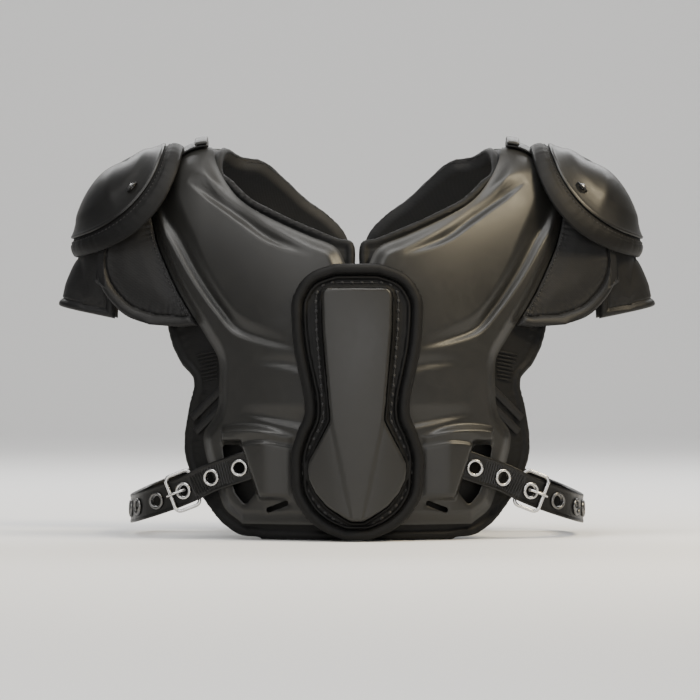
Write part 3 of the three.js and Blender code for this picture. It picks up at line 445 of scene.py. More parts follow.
class MeshMaker:
    """Gathers surfaces of one piece as arrays and makes the right and the left mesh of it."""

    def __init__(self) -> None:
        """Starts with nothing."""
        self.points: list[Array] = []
        self.faces: list[Array] = []
        self.slots: list[Array] = []
        self.count = 0

    def add(self, points: Array, faces: list[Array], slot: int = 0, outward: Array | None = None) -> None:
        """Adds a surface, turned so that its faces point outwards.

        The signed volume of a closed surface, or the sum of its face normals along a given direction for an
        open one, says whether the faces are turned round.

        Args:
            points: Vertices, as rows.
            faces: Arrays of vertex numbers, each with its own number of corners.
            slot: Material slot.
            outward: For an open surface, one outward direction for every vertex.
        """
        total = 0.0
        for block in faces:
            a, b, c = points[block[:, 0]], points[block[:, 1]], points[block[:, 2]]
            if outward is None:
                total += (a * np.cross(b, c)).sum()
                if block.shape[1] == 4:
                    total += (a * np.cross(c, points[block[:, 3]])).sum()
            else:
                total += (np.cross(b - a, c - a) * outward[block[:, 0]]).sum()
        for block in faces:
            turned = block[:, ::-1] if total < 0 else block
            self.faces.append(turned + self.count)
            self.slots.append(np.full(len(block), slot))
        self.points.append(points)
        self.count += len(points)

    def shell(self, lower: Array, upper: Array, slot: int = 0, under_slot: int = 0) -> None:
        """Closed sheet between two grids of points, with quads round its edge.

        Args:
            lower: Grid of the under face.
            upper: Grid of the outer face.
            slot: Material slot of the outer face and the edge.
            under_slot: Material slot of the under face.
        """
        rows, columns = lower.shape[:2]
        numbers = np.arange(rows * columns).reshape(rows, columns)
        below = quads(numbers)
        above = quads(numbers + rows * columns)[:, ::-1]
        ring = np.concatenate([numbers[0, :-1], numbers[:-1, -1], numbers[-1, :0:-1], numbers[:0:-1, 0]])
        after = np.roll(ring, -1)
        wall = np.stack([ring, after, after + rows * columns, ring + rows * columns], axis=1)
        faces = [below, above, wall[:, ::-1]]
        self.add(np.vstack([lower.reshape(-1, 3), upper.reshape(-1, 3)]), faces, slot)
        self.slots[-len(faces)] = np.full(len(below), under_slot)

    def tube(
        self,
        path: Array,
        up: Array,
        radius: Array | float,
        sides: int,
        closed: bool = False,
        slot: int = 0,
        flat: float = 1.0,
    ) -> None:
        """Round section carried along a path: ring points are the path plus radius times cos and sin of the
        ring angle along two directions square to the path.

        Args:
            path: Points of the middle line.
            up: A direction for each point, roughly square to the path.
            radius: Radius, or one for each point.
            sides: Corners of the section.
            closed: Whether the last point joins the first.
            slot: Material slot.
            flat: Height of the section as a share of its width.
        """
        if closed:
            along = np.roll(path, -1, axis=0) - np.roll(path, 1, axis=0)
        else:
            along = np.gradient(path, axis=0)
        along = unit(along)
        up = unit(up - (up * along).sum(axis=1, keepdims=True) * along)
        side = np.cross(along, up)
        angle = np.linspace(0.0, 2 * math.pi, sides, endpoint=False)
        size = np.broadcast_to(np.asarray(radius, float), (len(path),))[:, None, None]
        across = np.cos(angle)[None, :, None] * side[:, None, :]
        rings = path[:, None, :] + size * (across + flat * np.sin(angle)[None, :, None] * up[:, None, :])
        numbers = np.arange(len(path) * sides).reshape(len(path), sides)
        numbers = np.concatenate([numbers, numbers[:, :1]], axis=1)
        if closed:
            numbers = np.vstack([numbers, numbers[:1]])
            self.add(rings.reshape(-1, 3), [quads(numbers)], slot)
            return
        points = np.vstack([rings.reshape(-1, 3), path[:1], path[-1:]])
        first, last = len(points) - 2, len(points) - 1
        start = np.stack([np.full(sides, first), numbers[0, 1:], numbers[0, :-1]], axis=1)
        end = np.stack([np.full(sides, last), numbers[-1, :-1], numbers[-1, 1:]], axis=1)
        self.add(points, [quads(numbers), start, end], slot)

    def beads(
        self, places: Array, along: Array, up: Array, size: tuple[float, float, float], slot: int = 0
    ) -> None:
        """Small half egg shapes, one at each place: a few rings of a ball, stretched along, across and up.

        Args:
            places: Middles of their feet.
            along: Direction of the long side of each.
            up: Outward direction at each.
            size: Half length, half width and height.
            slot: Material slot.
        """
        along = unit(along - (along * up).sum(axis=1, keepdims=True) * up)
        side = np.cross(up, along)
        sides = BEAD_SIDES
        turn = np.linspace(0.0, 2 * math.pi, sides, endpoint=False)
        lift = np.radians(BEAD_RINGS)
        ball = [
            np.stack([np.cos(turn) * math.cos(a), np.sin(turn) * math.cos(a), np.full(sides, math.sin(a))], 1)
            for a in lift
        ]
        local = np.vstack([*ball, [[0.0, 0.0, 1.0]], [[0.0, 0.0, BEAD_FOOT]]]) * np.array(size)
        basis = np.stack([along, side, up], axis=1)
        points = places[:, None, :] + np.einsum("ij,njk->nik", local, basis)
        top = len(lift) * sides
        rings = np.arange(top).reshape(len(lift), sides)
        rings = np.concatenate([rings, rings[:, :1]], axis=1)
        cap = np.stack([rings[-1, :-1], rings[-1, 1:], np.full(sides, top)], axis=1)
        foot = np.stack([rings[0, 1:], rings[0, :-1], np.full(sides, top + 1)], axis=1)
        starts = (np.arange(len(places)) * len(local))[:, None, None]
        faces = [(block[None] + starts).reshape(-1, block.shape[1]) for block in (quads(rings), cap, foot)]
        self.add(points.reshape(-1, 3), faces, slot)

    def make(self, name: str, mirrored: bool, finishes: list[bpy.types.Material]) -> bpy.types.Object:
        """Makes the object, in metres, in the frame of the solids.

        Args:
            name: Name of the piece.
            mirrored: Whether it is the left one, with x turned round.
            finishes: One material for each slot.

        Returns:
            The linked object.
        """
        points = np.vstack(self.points) * MM
        points[:, 1] += DEPTH_SHIFT
        faces, slots = [], np.concatenate(self.slots)
        for block in self.faces:
            faces.extend((block[:, ::-1] if mirrored else block).tolist())
        if mirrored:
            points[:, 0] *= -1
        mesh = bpy.data.meshes.new(name)
        mesh.from_pydata(points, [], faces)
        for material in finishes:
            mesh.materials.append(material)
        mesh.polygons.foreach_set("material_index", slots.astype(np.int32))
        mesh.update()
        mesh.shade_smooth()
        mesh.set_sharp_from_angle(angle=math.radians(SHARP_ANGLE))
        piece = bpy.data.objects.new(name, mesh)
        bpy.context.scene.collection.objects.link(piece)
        return piece


def quads(numbers: Array) -> Array:
    """Quads of a grid of vertex numbers."""
    a, b, c, d = numbers[:-1, :-1], numbers[:-1, 1:], numbers[1:, 1:], numbers[1:, :-1]
    return np.stack([a, b, c, d], axis=-1).reshape(-1, 4)


def pierced(
    points: Array, flat: Array, holes: Callable[[Array], Array], spacing: float
) -> tuple[Array, Array]:
    """Faces of a grid outside some holes, with the holes' edges drawn onto their outlines.

    The grid's faces whose middle is inside a hole go. Each corner left on a hole's edge is moved by the
    hole's signed distance, against its gradient, as a blend of the grid's own two directions.

    Args:
        points: Grid of points.
        flat: The same grid's places in the plane in which the holes are drawn.
        holes: Signed distance to the holes' outlines, below 0 inside, from places in that plane.
        spacing: Step for the gradient.

    Returns:
        The points, with the hole edges moved, and the faces that stay.
    """
    rows, columns = points.shape[:2]
    faces = quads(np.arange(rows * columns).reshape(rows, columns))
    places = flat.reshape(-1, 2)
    inside = holes(places[faces].mean(axis=1)) < 0
    kept = faces[~inside]
    edge = np.intersect1d(kept.ravel(), faces[inside].ravel())
    here = places[edge]
    moved = here.copy()
    for _ in range(3):
        value = holes(moved)
        slope = np.stack(
            [
                (holes(moved + np.array([spacing, 0.0])) - value) / spacing,
                (holes(moved + np.array([0.0, spacing])) - value) / spacing,
            ],
            axis=1,
        )
        moved = moved - value[:, None] * unit(slope)
    flat_across = np.gradient(flat, axis=1).reshape(-1, 2)[edge]
    flat_along = np.gradient(flat, axis=0).reshape(-1, 2)[edge]
    step = np.linalg.solve(np.stack([flat_across, flat_along], axis=2), (moved - here)[:, :, None])[:, :, 0]
    out = points.reshape(-1, 3).copy()
    out[edge] += step[:, :1] * np.gradient(points, axis=1).reshape(-1, 3)[edge]
    out[edge] += step[:, 1:] * np.gradient(points, axis=0).reshape(-1, 3)[edge]
    used = np.unique(kept)
    renumber = np.zeros(len(out), int)
    renumber[used] = np.arange(len(used))
    return out[used], renumber[kept]


def polygon_distance(places: Array, corners: Array, radius: float) -> Array:
    """Signed distance to a polygon with rounded corners, below 0 inside.

    The distance is the least to any side, its sign comes from counting the sides crossed by a ray, and the
    rounding comes from a polygon that is smaller by the radius, grown again.

    Args:
        places: Places in the plane.
        corners: The smaller polygon's corners.
        radius: Radius of the corners.

    Returns:
        Distances.
    """
    ends = np.roll(corners, -1, axis=0)
    side = (ends - corners)[None]
    to = places[:, None, :] - corners[None]
    share = np.clip((to * side).sum(2) / (side**2).sum(2), 0.0, 1.0)
    away = np.linalg.norm(to - share[..., None] * side, axis=2).min(axis=1)
    above = corners[None, :, 1] > places[:, None, 1]
    crossed = above != (ends[None, :, 1] > places[:, None, 1])
    rise = np.where(side[..., 1] == 0, 1e-9, side[..., 1])
    at = corners[None, :, 0] + to[..., 1] / rise * side[..., 0]
    inside = (crossed & (places[:, None, 0] < at)).sum(axis=1) % 2 == 1
    return np.where(inside, -away, away) - radius


class Socket:
    """One output of a shader node, with the usual operators as Math nodes."""

    def __init__(self, board: "Board", link: bpy.types.NodeSocket) -> None:
        """Keeps the board and the output."""
        self.board, self.link = board, link

    def maths(self, operation: str, *others: "Socket | float") -> "Socket":
        """One Math node on this value and others."""
        return self.board.node("ShaderNodeMath", {"operation": operation}, [self, *others])[0]

    def __add__(self, other: "Socket | float") -> "Socket":
        """Sum."""
        return self.maths("ADD", other)

    __radd__ = __add__

    def __mul__(self, other: "Socket | float") -> "Socket":
        """Product."""
        return self.maths("MULTIPLY", other)

    __rmul__ = __mul__

    def __sub__(self, other: "Socket | float") -> "Socket":
        """Difference."""
        return self.maths("SUBTRACT", other)

    def __rsub__(self, other: float) -> "Socket":
        """Difference from a number."""
        return self.board.node("ShaderNodeMath", {"operation": "SUBTRACT"}, [other, self])[0]


class Board:
    """Node tree of one material, with one way to make any node."""

    def __init__(self, name: str) -> None:
        """Makes the material with an empty tree but for its shader and output."""
        self.material = bpy.data.materials.new(name)
        self.material.use_nodes = True
        self.tree = self.material.node_tree
        self.shader = self.tree.nodes["Principled BSDF"]

    def node(self, kind: str, settings: dict, inputs: "list | dict") -> list[Socket]:
        """Makes a node.

        Args:
            kind: The node's type.
            settings: Its settings, set first.
            inputs: Values or links for its sockets, in order or by name. None leaves a socket alone.

        Returns:
            Its outputs.
        """
        made = self.tree.nodes.new(kind)
        for key, value in settings.items():
            if key == "stops":
                for index, (place, colour) in enumerate(value):
                    stop = made.color_ramp.elements
                    element = stop[index] if index < 2 else stop.new(place)
                    element.position, element.color = place, (*colour, 1.0)
            else:
                setattr(made, key, value)
        pairs = inputs.items() if isinstance(inputs, dict) else enumerate(inputs)
        for key, value in pairs:
            if value is None:
                continue
            if isinstance(value, Socket):
                self.tree.links.new(value.link, made.inputs[key])
            else:
                made.inputs[key].default_value = value
        return [Socket(self, output) for output in made.outputs]

    def place(self) -> Socket:
        """Object coordinates, which are metres in the frame of the solids."""
        return self.node("ShaderNodeTexCoord", {}, [])[3]

    def noise(self, scale: float, detail: float = 2.0) -> Socket:
        """Noise from 0 to 1 with a number of features to the metre."""
        inputs = {"Vector": self.place(), "Scale": scale, "Detail": detail}
        return self.node("ShaderNodeTexNoise", {}, inputs)[0]

    def mix(self, share: Socket, first: tuple, second: tuple) -> Socket:
        """Colour between two, by a share."""
        inputs = {0: share, 6: (*first, 1.0), 7: (*second, 1.0)}
        return self.node("ShaderNodeMix", {"data_type": "RGBA"}, inputs)[2]

    def bump(self, height: Socket, strength: float, distance: float) -> Socket:
        """Normal bent by a height."""
        inputs = {"Height": height, "Strength": strength, "Distance": distance}
        return self.node("ShaderNodeBump", {}, inputs)[0]

    def feed(self, **inputs: "Socket | float | tuple") -> None:
        """Sets or links the shader's sockets. An underscore in a name stands for a space."""
        for key, value in inputs.items():
            socket = self.shader.inputs[key.replace("_", " ")]
            if isinstance(value, Socket):
                self.tree.links.new(value.link, socket)
            else:
                socket.default_value = value


@dataclass(frozen=True)
class MouldedPlastic:
    """Satin moulded shell: a fine grain, cloudy gloss and faint handling marks."""

    name: str
    dark: tuple[float, float, float]
    light: tuple[float, float, float]
    roughness: float
    mirror: float
    grain: float = 0.12
    cloud_scale: float = 22.0
    grain_scale: float = 2600.0
    mark_scale: float = 160.0
    cloudy: float = 0.16
    handled: float = 0.14

    def material(self) -> bpy.types.Material:
        """Builds the material."""
        board = Board(self.name)
        clouds = board.noise(self.cloud_scale, 3.0)
        grain = board.noise(self.grain_scale, 2.0)
        marks = board.noise(self.mark_scale, 6.0)
        board.feed(
            Base_Color=board.mix(clouds, self.dark, self.light),
            Roughness=self.roughness + (clouds - 0.5) * self.cloudy + (marks - 0.5) * self.handled,
            Normal=board.bump(grain * 0.6 + marks * 0.4, self.grain, 0.0004),
            Specular_IOR_Level=self.mirror,
        )
        return board.material


@dataclass(frozen=True)
class Cloth:
    """Black knitted nylon over foam: fine cross threads, soft sheen and slight puckers."""

    name: str
    dark: tuple[float, float, float]
    light: tuple[float, float, float]
    roughness: float
    threads: float = 1300.0
    fuzz_scale: float = 900.0
    pucker_scale: float = 70.0

    def material(self) -> bpy.types.Material:
        """Builds the material."""
        board = Board(self.name)
        wave = {"wave_type": "BANDS", "wave_profile": "SIN"}
        place = board.place()
        inputs = {"Vector": place, "Scale": self.threads / THREAD_TURN, "Distortion": 0.4}
        warp = board.node("ShaderNodeTexWave", {**wave, "bands_direction": "DIAGONAL"}, inputs)[1]
        weft = board.node("ShaderNodeTexWave", {**wave, "bands_direction": "Z"}, inputs)[1]
        fuzz = board.noise(self.fuzz_scale, 4.0)
        pucker = board.noise(self.pucker_scale, 3.0)
        weave = warp * 0.35 + weft * 0.35 + fuzz * 0.3
        board.feed(
            Base_Color=board.mix(weave * 0.6 + pucker * 0.4, self.dark, self.light),
            Roughness=self.roughness + (pucker - 0.5) * 0.15,
            Normal=board.bump(weave * 0.15 + pucker * 1.2, 0.35, 0.0009),
            Sheen_Weight=0.015,
            Sheen_Roughness=0.45,
            Specular_IOR_Level=0.2,
        )
        return board.material


@dataclass(frozen=True)
class Webbing:
    """Coated strap: close cross ribs under a worn gloss."""

    name: str
    dark: tuple[float, float, float]
    light: tuple[float, float, float]
    roughness: float
    rib_scale: float = 240.0
    wear_scale: float = 120.0
    fine_scale: float = 1500.0

    def material(self) -> bpy.types.Material:
        """Builds the material."""
        board = Board(self.name)
        inputs = {"Vector": board.place(), "Scale": self.rib_scale, "Distortion": 0.6}
        ribs = board.node("ShaderNodeTexWave", {"wave_type": "BANDS", "bands_direction": "X"}, inputs)[1]
        wear = board.noise(self.wear_scale, 5.0)
        fine = board.noise(self.fine_scale, 2.0)
        board.feed(
            Base_Color=board.mix(wear, self.dark, self.light),
            Roughness=self.roughness + (wear - 0.5) * 0.25,
            Normal=board.bump(ribs * 0.5 + fine * 0.5, 0.25, 0.0004),
            Specular_IOR_Level=0.3,
        )
        return board.material


@dataclass(frozen=True)
class Plated:
    """Nickel plate: bright, with hair scratches and slightly dull patches."""

    name: str
    dark: tuple[float, float, float]
    light: tuple[float, float, float]
    roughness: float
    patch_scale: float = 260.0
    hair_scale: float = 3000.0

    def material(self) -> bpy.types.Material:
        """Builds the material."""
        board = Board(self.name)
        patches = board.noise(self.patch_scale, 4.0)
        hairs = board.noise(self.hair_scale, 3.0)
        board.feed(
            Base_Color=board.mix(patches, self.dark, self.light),
            Metallic=1.0,
            Roughness=self.roughness + (patches - 0.5) * 0.2,
            Normal=board.bump(hairs, 0.08, 0.0002),
        )
        return board.material


class Finish(Enum):
    """The finishes of the pieces."""

    SHELL = MouldedPlastic("plate_shell", (0.0095, 0.0094, 0.009), (0.0145, 0.0142, 0.0132), 0.4, 0.4)
    CUP = MouldedPlastic("cup_shell", (0.0062, 0.0062, 0.0063), (0.0092, 0.0092, 0.0092), 0.4, 0.36, 0.06)
    CLOTH = Cloth("padding_cloth", (0.0018, 0.0018, 0.002), (0.0048, 0.0048, 0.005), 0.6)
    BINDING = Cloth("edge_binding", (0.006, 0.006, 0.0063), (0.0125, 0.0125, 0.013), 0.5)
    # Painted light: the padding cloth made far lighter for the liner's inner face, so that it reads as lit
    # where it shows through the neck opening.
    LINING_PAINTED_LIGHT = Cloth("inner_lining_painted_light", (0.02, 0.02, 0.0205), (0.032, 0.032, 0.0325), 0.6)
    WEBBING = Webbing("belt_webbing", (0.002, 0.002, 0.0021), (0.0045, 0.0045, 0.0046), 0.4)
    THREAD = Cloth("stitch_thread", (0.018, 0.018, 0.019), (0.04, 0.04, 0.041), 0.5)
    # Painted shade: the same nickel plate, darkened for the later eyelets that lie in shadow; not a different
    # plating.
    NICKEL_PAINTED_SHADE = Plated("nickel_plate_painted_shade", (0.1, 0.1, 0.102), (0.18, 0.178, 0.175), 0.3)
    METAL = Plated("nickel_plate", (0.42, 0.42, 0.425), (0.62, 0.615, 0.61), 0.27)


MADE: dict[Finish, bpy.types.Material] = {}


def dressed(finish: Finish) -> bpy.types.Material:
    """The material of a finish, made once."""
    if finish not in MADE:
        MADE[finish] = finish.value.material()
    return MADE[finish]


def cup_middle_shift() -> float:
    """How far back the solids lie from the form's own frame, where the cup is even about the ridge."""
    low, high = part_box("shoulder_cup_right")
    return (low.y + high.y) / 2


DEPTH_SHIFT = cup_middle_shift()


def hand_over(
    maker: MeshMaker, node: str, finishes: list[Finish], single: bool = False
) -> list[bpy.types.Object]:
    """Makes a piece's meshes, gives them their finishes and puts them in their nodes' place.

    Args:
        maker: The gathered surfaces.
        node: Name of the CAD node, without its side.
        finishes: One finish for each material slot.
        single: Whether the node lies on the centre line and has no side.

    Returns:
        The objects.
    """
    made = []
    for side, mirrored in SIDES[:1] if single else SIDES:
        target = node if single else f"{node}_{side}"
        piece = maker.make(f"{target}_look", mirrored, [dressed(finish) for finish in finishes])
        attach(piece, "root")
        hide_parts(target)
        made.append(piece)
    LOG.info("%s: %d vertices", node, maker.count)
    return made


def thicken(pieces: list, thick: float, bevel: float) -> None:
    """Gives open sheets their wall and rounded edges.

    Args:
        pieces: The objects.
        thick: Wall in millimetres, inwards from the sheet.
        bevel: Radius of the edges in millimetres.
    """
    for piece in pieces:
        wall = piece.modifiers.new("wall", "SOLIDIFY")
        wall.thickness = thick * MM
        wall.offset = -1.0
        wall.use_even_offset = False
        edge = piece.modifiers.new("edge", "BEVEL")
        edge.width = bevel * MM
        edge.segments = 2
        edge.limit_method = "ANGLE"
        edge.angle_limit = math.radians(BEVEL_ANGLE)


@dataclass
class Crease:
    """A groove pressed along a curve on the plate.

    Each stop holds a distance out, a height, the groove's half width there and its depth, in millimetres.
    """

    stops: list[tuple[float, float, float, float]]
    ramp_width: float = 1.4
    straight: float = 0.4
    return_start: float = 0.38

    def depth(self, x: Array, z: Array) -> Array:
        """Depth at places on the plate.

        Across the groove, with t from -1 to 1 in half widths, it ramps down over the first two thirds and
        comes back up in the last third.

        Args:
            x: Distances out.
            z: Heights.

        Returns:
            Depths in millimetres.
        """
        stops = np.array(self.stops)
        line = curve_through(np.stack([stops[:, 0], 0 * stops[:, 0], stops[:, 1]], axis=1), 24)
        curve = even_path(line, 0.7)
        away, run = nearest(np.stack([x, 0 * x, z], axis=-1), curve)
        spans = run_lengths(line)[::24]
        half, deep = np.interp(run, spans, stops[:, 2]), np.interp(run, spans, stops[:, 3])
        lengths, way = run_lengths(curve), np.gradient(curve, axis=0)
        near_x, near_z, way_x, way_z = (
            np.interp(run, lengths, column) for column in (curve[:, 0], curve[:, 2], way[:, 0], way[:, 2])
        )
        t = np.sign(way_x * (z - near_z) - way_z * (x - near_x)) * away / np.maximum(half, 0.5)
        ramp = np.clip((t + 1) / self.ramp_width, 0.0, 1.0)
        rise = smooth((t - self.return_start) / (1 - self.return_start))
        return deep * (self.straight * ramp + (1 - self.straight) * smooth(ramp)) * (1 - rise)


@dataclass
class ChestPlate:
    """Hard front plate: pressed channels, a raised panel under a brow, a belt window and a vent slot."""

    across_steps: int = 108
    along_steps: int = 226
    taper: float = 13.0
    ridge_taper: float = 50.0
    panel_rise: float = 9.0
    panel_wall: float = 6.5
    panel_in: float = 55.8
    panel_low: float = 37.0
    brow_out: float = 113.0
    window_round: float = 3.0
    creases: list[Crease] = field(
        default_factory=lambda: [
            Crease(
                [
                    (180.0, 332.0, 14.0, 0.0),
                    (173.0, 310.0, 15.0, 4.5),
                    (163.0, 286.0, 13.0, 6.2),
                    (152.5, 266.0, 11.0, 6.6),
                    (135.5, 233.0, 9.0, 6.4),
                    (114.0, 201.6, 7.6, 6.0),
                    (101.0, 188.5, 9.0, 5.0),
                    (80.0, 180.0, 8.5, 3.0),
                    (48.0, 171.0, 7.0, 0.0),
                ]
            ),
            Crease(
                [
                    (146.0, 316.0, 6.0, 0.0),
                    (126.0, 304.0, 10.0, 4.2),
                    (100.0, 288.0, 12.0, 6.2),
                    (74.0, 268.0, 10.0, 4.8),
                    (38.0, 252.0, 7.0, 0.0),
                ]
            ),
            Crease(
                [
                    (98.0, 114.0, 6.0, 0.0),
                    (64.0, 110.0, 9.5, 3.2),
                    (40.0, 107.0, 12.0, 5.0),
                    (18.0, 104.0, 9.0, 0.0),
                ]
            ),
            Crease(
                [
                    (88.0, 158.0, 5.0, 0.0),
                    (60.0, 157.0, 7.0, 2.2),
                    (40.0, 153.0, 8.0, 3.4),
                    (20.0, 150.0, 7.0, 0.0),
                ]
            ),
            Crease(
                [
                    (104.0, 84.0, 5.0, 0.0),
                    (95.0, 87.5, 5.5, 2.4),
                    (78.0, 90.0, 5.5, 2.6),
                    (54.0, 86.0, 5.5, 2.0),
                    (36.0, 83.0, 5.0, 0.0),
                ]
            ),
        ]
    )
    window: Array = field(
        default_factory=lambda: np.array(
            [(112.0, 80.0), (101.5, 80.0), (89.0, 42.0), (95.0, 34.5), (101.0, 42.0), (110.5, 70.0)]
        )
    )
    slot: Array = field(
        default_factory=lambda: np.array([(75.0, 25.5), (59.5, 31.8), (59.5, 33.2), (75.0, 27.0)])
    )
    slot_round: float = 1.6
    brow_height: float = 99.0
    brow_middle: float = 93.0
    brow_fall: float = 0.0058
    panel_lean: float = 0.33
    strip_low: float = 86.0
    tuck_start: float = 54.0
    tuck_run: float = 24.0
    tuck_share: float = 0.25
    lip: float = 1.0
    lip_run: float = 2.0

    def brow(self, x: Array) -> Array:
        """Height of the brow's crest at a distance out: a low arch, highest at 93 mm."""
        return self.brow_height - self.brow_fall * (x - self.brow_middle) ** 2

    def panel(self, x: Array, z: Array) -> Array:
        """Share of the raised panel's height: the eased distance inside the panel or the brow."""
        lean = 97.0 - self.panel_lean * np.clip(87.0 - z, 0.0, None)
        under = self.brow(x) - z
        face = np.minimum.reduce([x - self.panel_in, lean - x, z - self.panel_low, under])
        strip = np.minimum.reduce([x - self.panel_in, self.brow_out - x, z - self.strip_low, under])
        return smooth(np.maximum(face, strip) / self.panel_wall + 0.5)

    def holes(self, places: Array) -> Array:
        """Signed distance to the belt window and the vent slot."""
        window = polygon_distance(places, self.window, self.window_round)
        return np.minimum(window, polygon_distance(places, self.slot, self.slot_round))

    def build(self) -> None:
        """Builds both plates.

        The face carries the creases and the raised panel, which sinks towards the sternum board. Its height
        eases down to the plate's edge and dips a little round the window and the slot.
        """
        across, along = np.meshgrid(crowded(self.across_steps, 0.5), crowded(self.along_steps, 0.3))
        x, turn, width = CHEST.span(across, along)
        z = FORM.ridge(x) * np.sin(turn) ** (2.0 / FORM.arch_power)
        edge, _ = nearest(CHEST.at(across, along), CHEST.rim())
        top = (1.0 - along) * FORM.ridge_height
        dome = smooth(edge / self.taper) * smooth(top / self.ridge_taper)
        sunk = np.max([crease.depth(x, z) for crease in self.creases], axis=0)
        tilt = self.tuck_share + (1 - self.tuck_share) * smooth((x - self.tuck_start) / self.tuck_run)
        lift = FORM.plate_rise - sunk + self.panel_rise * tilt * self.panel(x, z)
        hole = self.holes(np.stack([x, z], axis=-1).reshape(-1, 2)).reshape(x.shape)
        lip = self.lip * np.exp(-np.clip(hole, 0.0, None) / self.lip_run)
        off = FORM.gap + dome * np.maximum(0.0, lift - lip) + FORM.plate_thick
        points = CHEST.at(across, along, off)
        outward = unit(CHEST.at(across, along, off + 1.0) - points)
        flat = np.stack([x, z], axis=-1)
        corners, faces = pierced(points, flat, self.holes, 0.2)
        maker = MeshMaker()
        maker.add(corners, [faces], 0, np.broadcast_to(outward.mean(axis=(0, 1)), corners.shape))
        thicken(hand_over(maker, "chest_plate", [Finish.SHELL]), FORM.plate_thick, 0.7)


@dataclass
class BackPlate:
    """Hard back plate: a plain dome with two soft channels that run with its outer edge.

    A channel's row is its depth, its place across and its width in hundredths of the way, and where it starts
    along the plate and over how much of it it deepens, in shares.
    """

    across_steps: int = 55
    along_steps: int = 130
    taper: float = 13.0
    ridge_taper: float = 50.0
    channels: tuple[tuple[float, float, float, float, float], ...] = (
        (2.4, 62.0, 5.0, 0.1, 0.15),
        (2.0, 38.0, 4.0, 0.15, 0.2),
    )

    def build(self) -> None:
        """Builds both plates: dome height is the eased distance from the edge, less the channels."""
        across, along = np.meshgrid(crowded(self.across_steps, 0.5), crowded(self.along_steps, 0.3))
        edge, _ = nearest(BACK.at(across, along), BACK.rim())
        top = (1.0 - along) * FORM.ridge_height
        dome = smooth(edge / self.taper) * smooth(top / self.ridge_taper)
        lift = FORM.plate_rise + 0 * dome
        for deep, place, width, start, run in self.channels:
            lift -= deep * roll(across * 100.0, place, width) / width * smooth((along - start) / run)
        off = FORM.gap + dome * lift + FORM.plate_thick
        points = BACK.at(across, along, off)
        maker = MeshMaker()
        numbers = np.arange(points.shape[0] * points.shape[1]).reshape(points.shape[:2])
        outward = np.broadcast_to(np.array([0.0, 1.0, 0.2]), (numbers.size, 3))
        maker.add(points.reshape(-1, 3), [quads(numbers)], 0, outward)
        thicken(hand_over(maker, "back_plate", [Finish.SHELL]), FORM.plate_thick, 0.7)


@dataclass
class BodyLiner:
    """Foam padding under the plates: a rolled rim, gathered cloth beside it, ribs and two stay bands."""

    across_steps: int = 60
    along_steps: int = 340
    rim_radius: float = 4.2
    gather_pitch: float = 9.0
    rim_sink: float = 0.2
    face_sink: float = 2.2
    swell: float = 1.4
    pucker: float = 1.15
    edge_round: float = 8.0

    def build(self) -> None:
        """Builds both halves.

        The outer face is the padding surface with a rolled rim, a seam beside it and gathers that die away
        inwards. The inner face lies a wall further in and bulges a little between its rounded edges.
        """
        along = np.linspace(0.0, 1.0, self.along_steps + 1)
        across, along = np.meshgrid(crowded(self.across_steps, 0.8), along)
        base = LINER.at(across, along)
        rim = LINER.rim()
        edge, run = nearest(base, rim)
        radius = self.rim_radius
        fold = gathers(run, self.gather_pitch)
        bead = roll(edge, radius, radius) * (1.0 + 0.1 * fold)
        inner = smooth((edge - 2 * radius) / 9.0)
        seam = 0.9 * np.exp(-((edge - 2.1 * radius) / 1.1) ** 2)
        fade = np.exp(-np.clip(edge - 2 * radius, 0.0, None) / 5.5) * smooth((edge - 1.6 * radius) / 3.0)
        face = np.maximum(0.0, self.swell * inner - seam + self.pucker * fold * fade) - self.face_sink
        rolled = bead - radius - self.rim_sink
        high = np.minimum(np.where(edge > radius, np.maximum(rolled, face), rolled), 0.0)
        high = np.where(edge < 0.05, -radius, high)
        full = round_edge(edge, self.edge_round)
        low = -FORM.liner_thick * full + (high - 0.4) * (1.0 - full)
        low = low - 0.5 * fold * np.exp(-edge / 7.0) * round_edge(edge, 3.0)
        flat_foot = base[..., 2] < 1e-3
        lower, upper = LINER.at(across, along, low), LINER.at(across, along, high)
        lower[..., 2] = np.maximum(lower[..., 2], 0.0)
        upper[..., 2] = np.maximum(upper[..., 2], 0.0)
        lower[flat_foot, 2] = 0.0
        maker = MeshMaker()
        # The under face takes slot 2, the lightened cloth, which is painted light.
        maker.shell(lower, upper, 0, 2)
        self.bands(maker)
        self.ribs(maker)
        finishes = [Finish.CLOTH, Finish.BINDING, Finish.LINING_PAINTED_LIGHT]
        hand_over(maker, "body_liner", finishes)

    def bands(self, maker: MeshMaker) -> None:
        """Two flat stay bands that run up and in from the rolled rim to under the plate."""
        for start, end in (((146.0, 106.0), (114.0, 138.0)), ((143.0, 94.0), (114.0, 122.0))):
            spots = np.linspace(start, end, 24)
            path = FORM.on_face(spots[:, 0], spots[:, 1], 0.5)
            up = FORM.on_face(spots[:, 0], spots[:, 1], 1.5) - path
            maker.tube(path, up, 3.6, 16, slot=1, flat=0.42)

    def ribs(self, maker: MeshMaker) -> None:
        """Close cross ribs of the elastic gusset above the bands."""
        heights = np.arange(142.0, 168.0, 3.4)
        for height in heights:
            x = np.linspace(124.0, 137.0 + 0.25 * (height - 142.0), 14)
            z = height - 0.2 * (x - 124.0)
            path = FORM.on_face(x, z, -0.2)
            up = FORM.on_face(x, z, 0.8) - path
            size = 1.1 * np.sin(np.linspace(0.15, math.pi - 0.15, 14)) ** 0.5
            maker.tube(path, up, size, 8, slot=0)


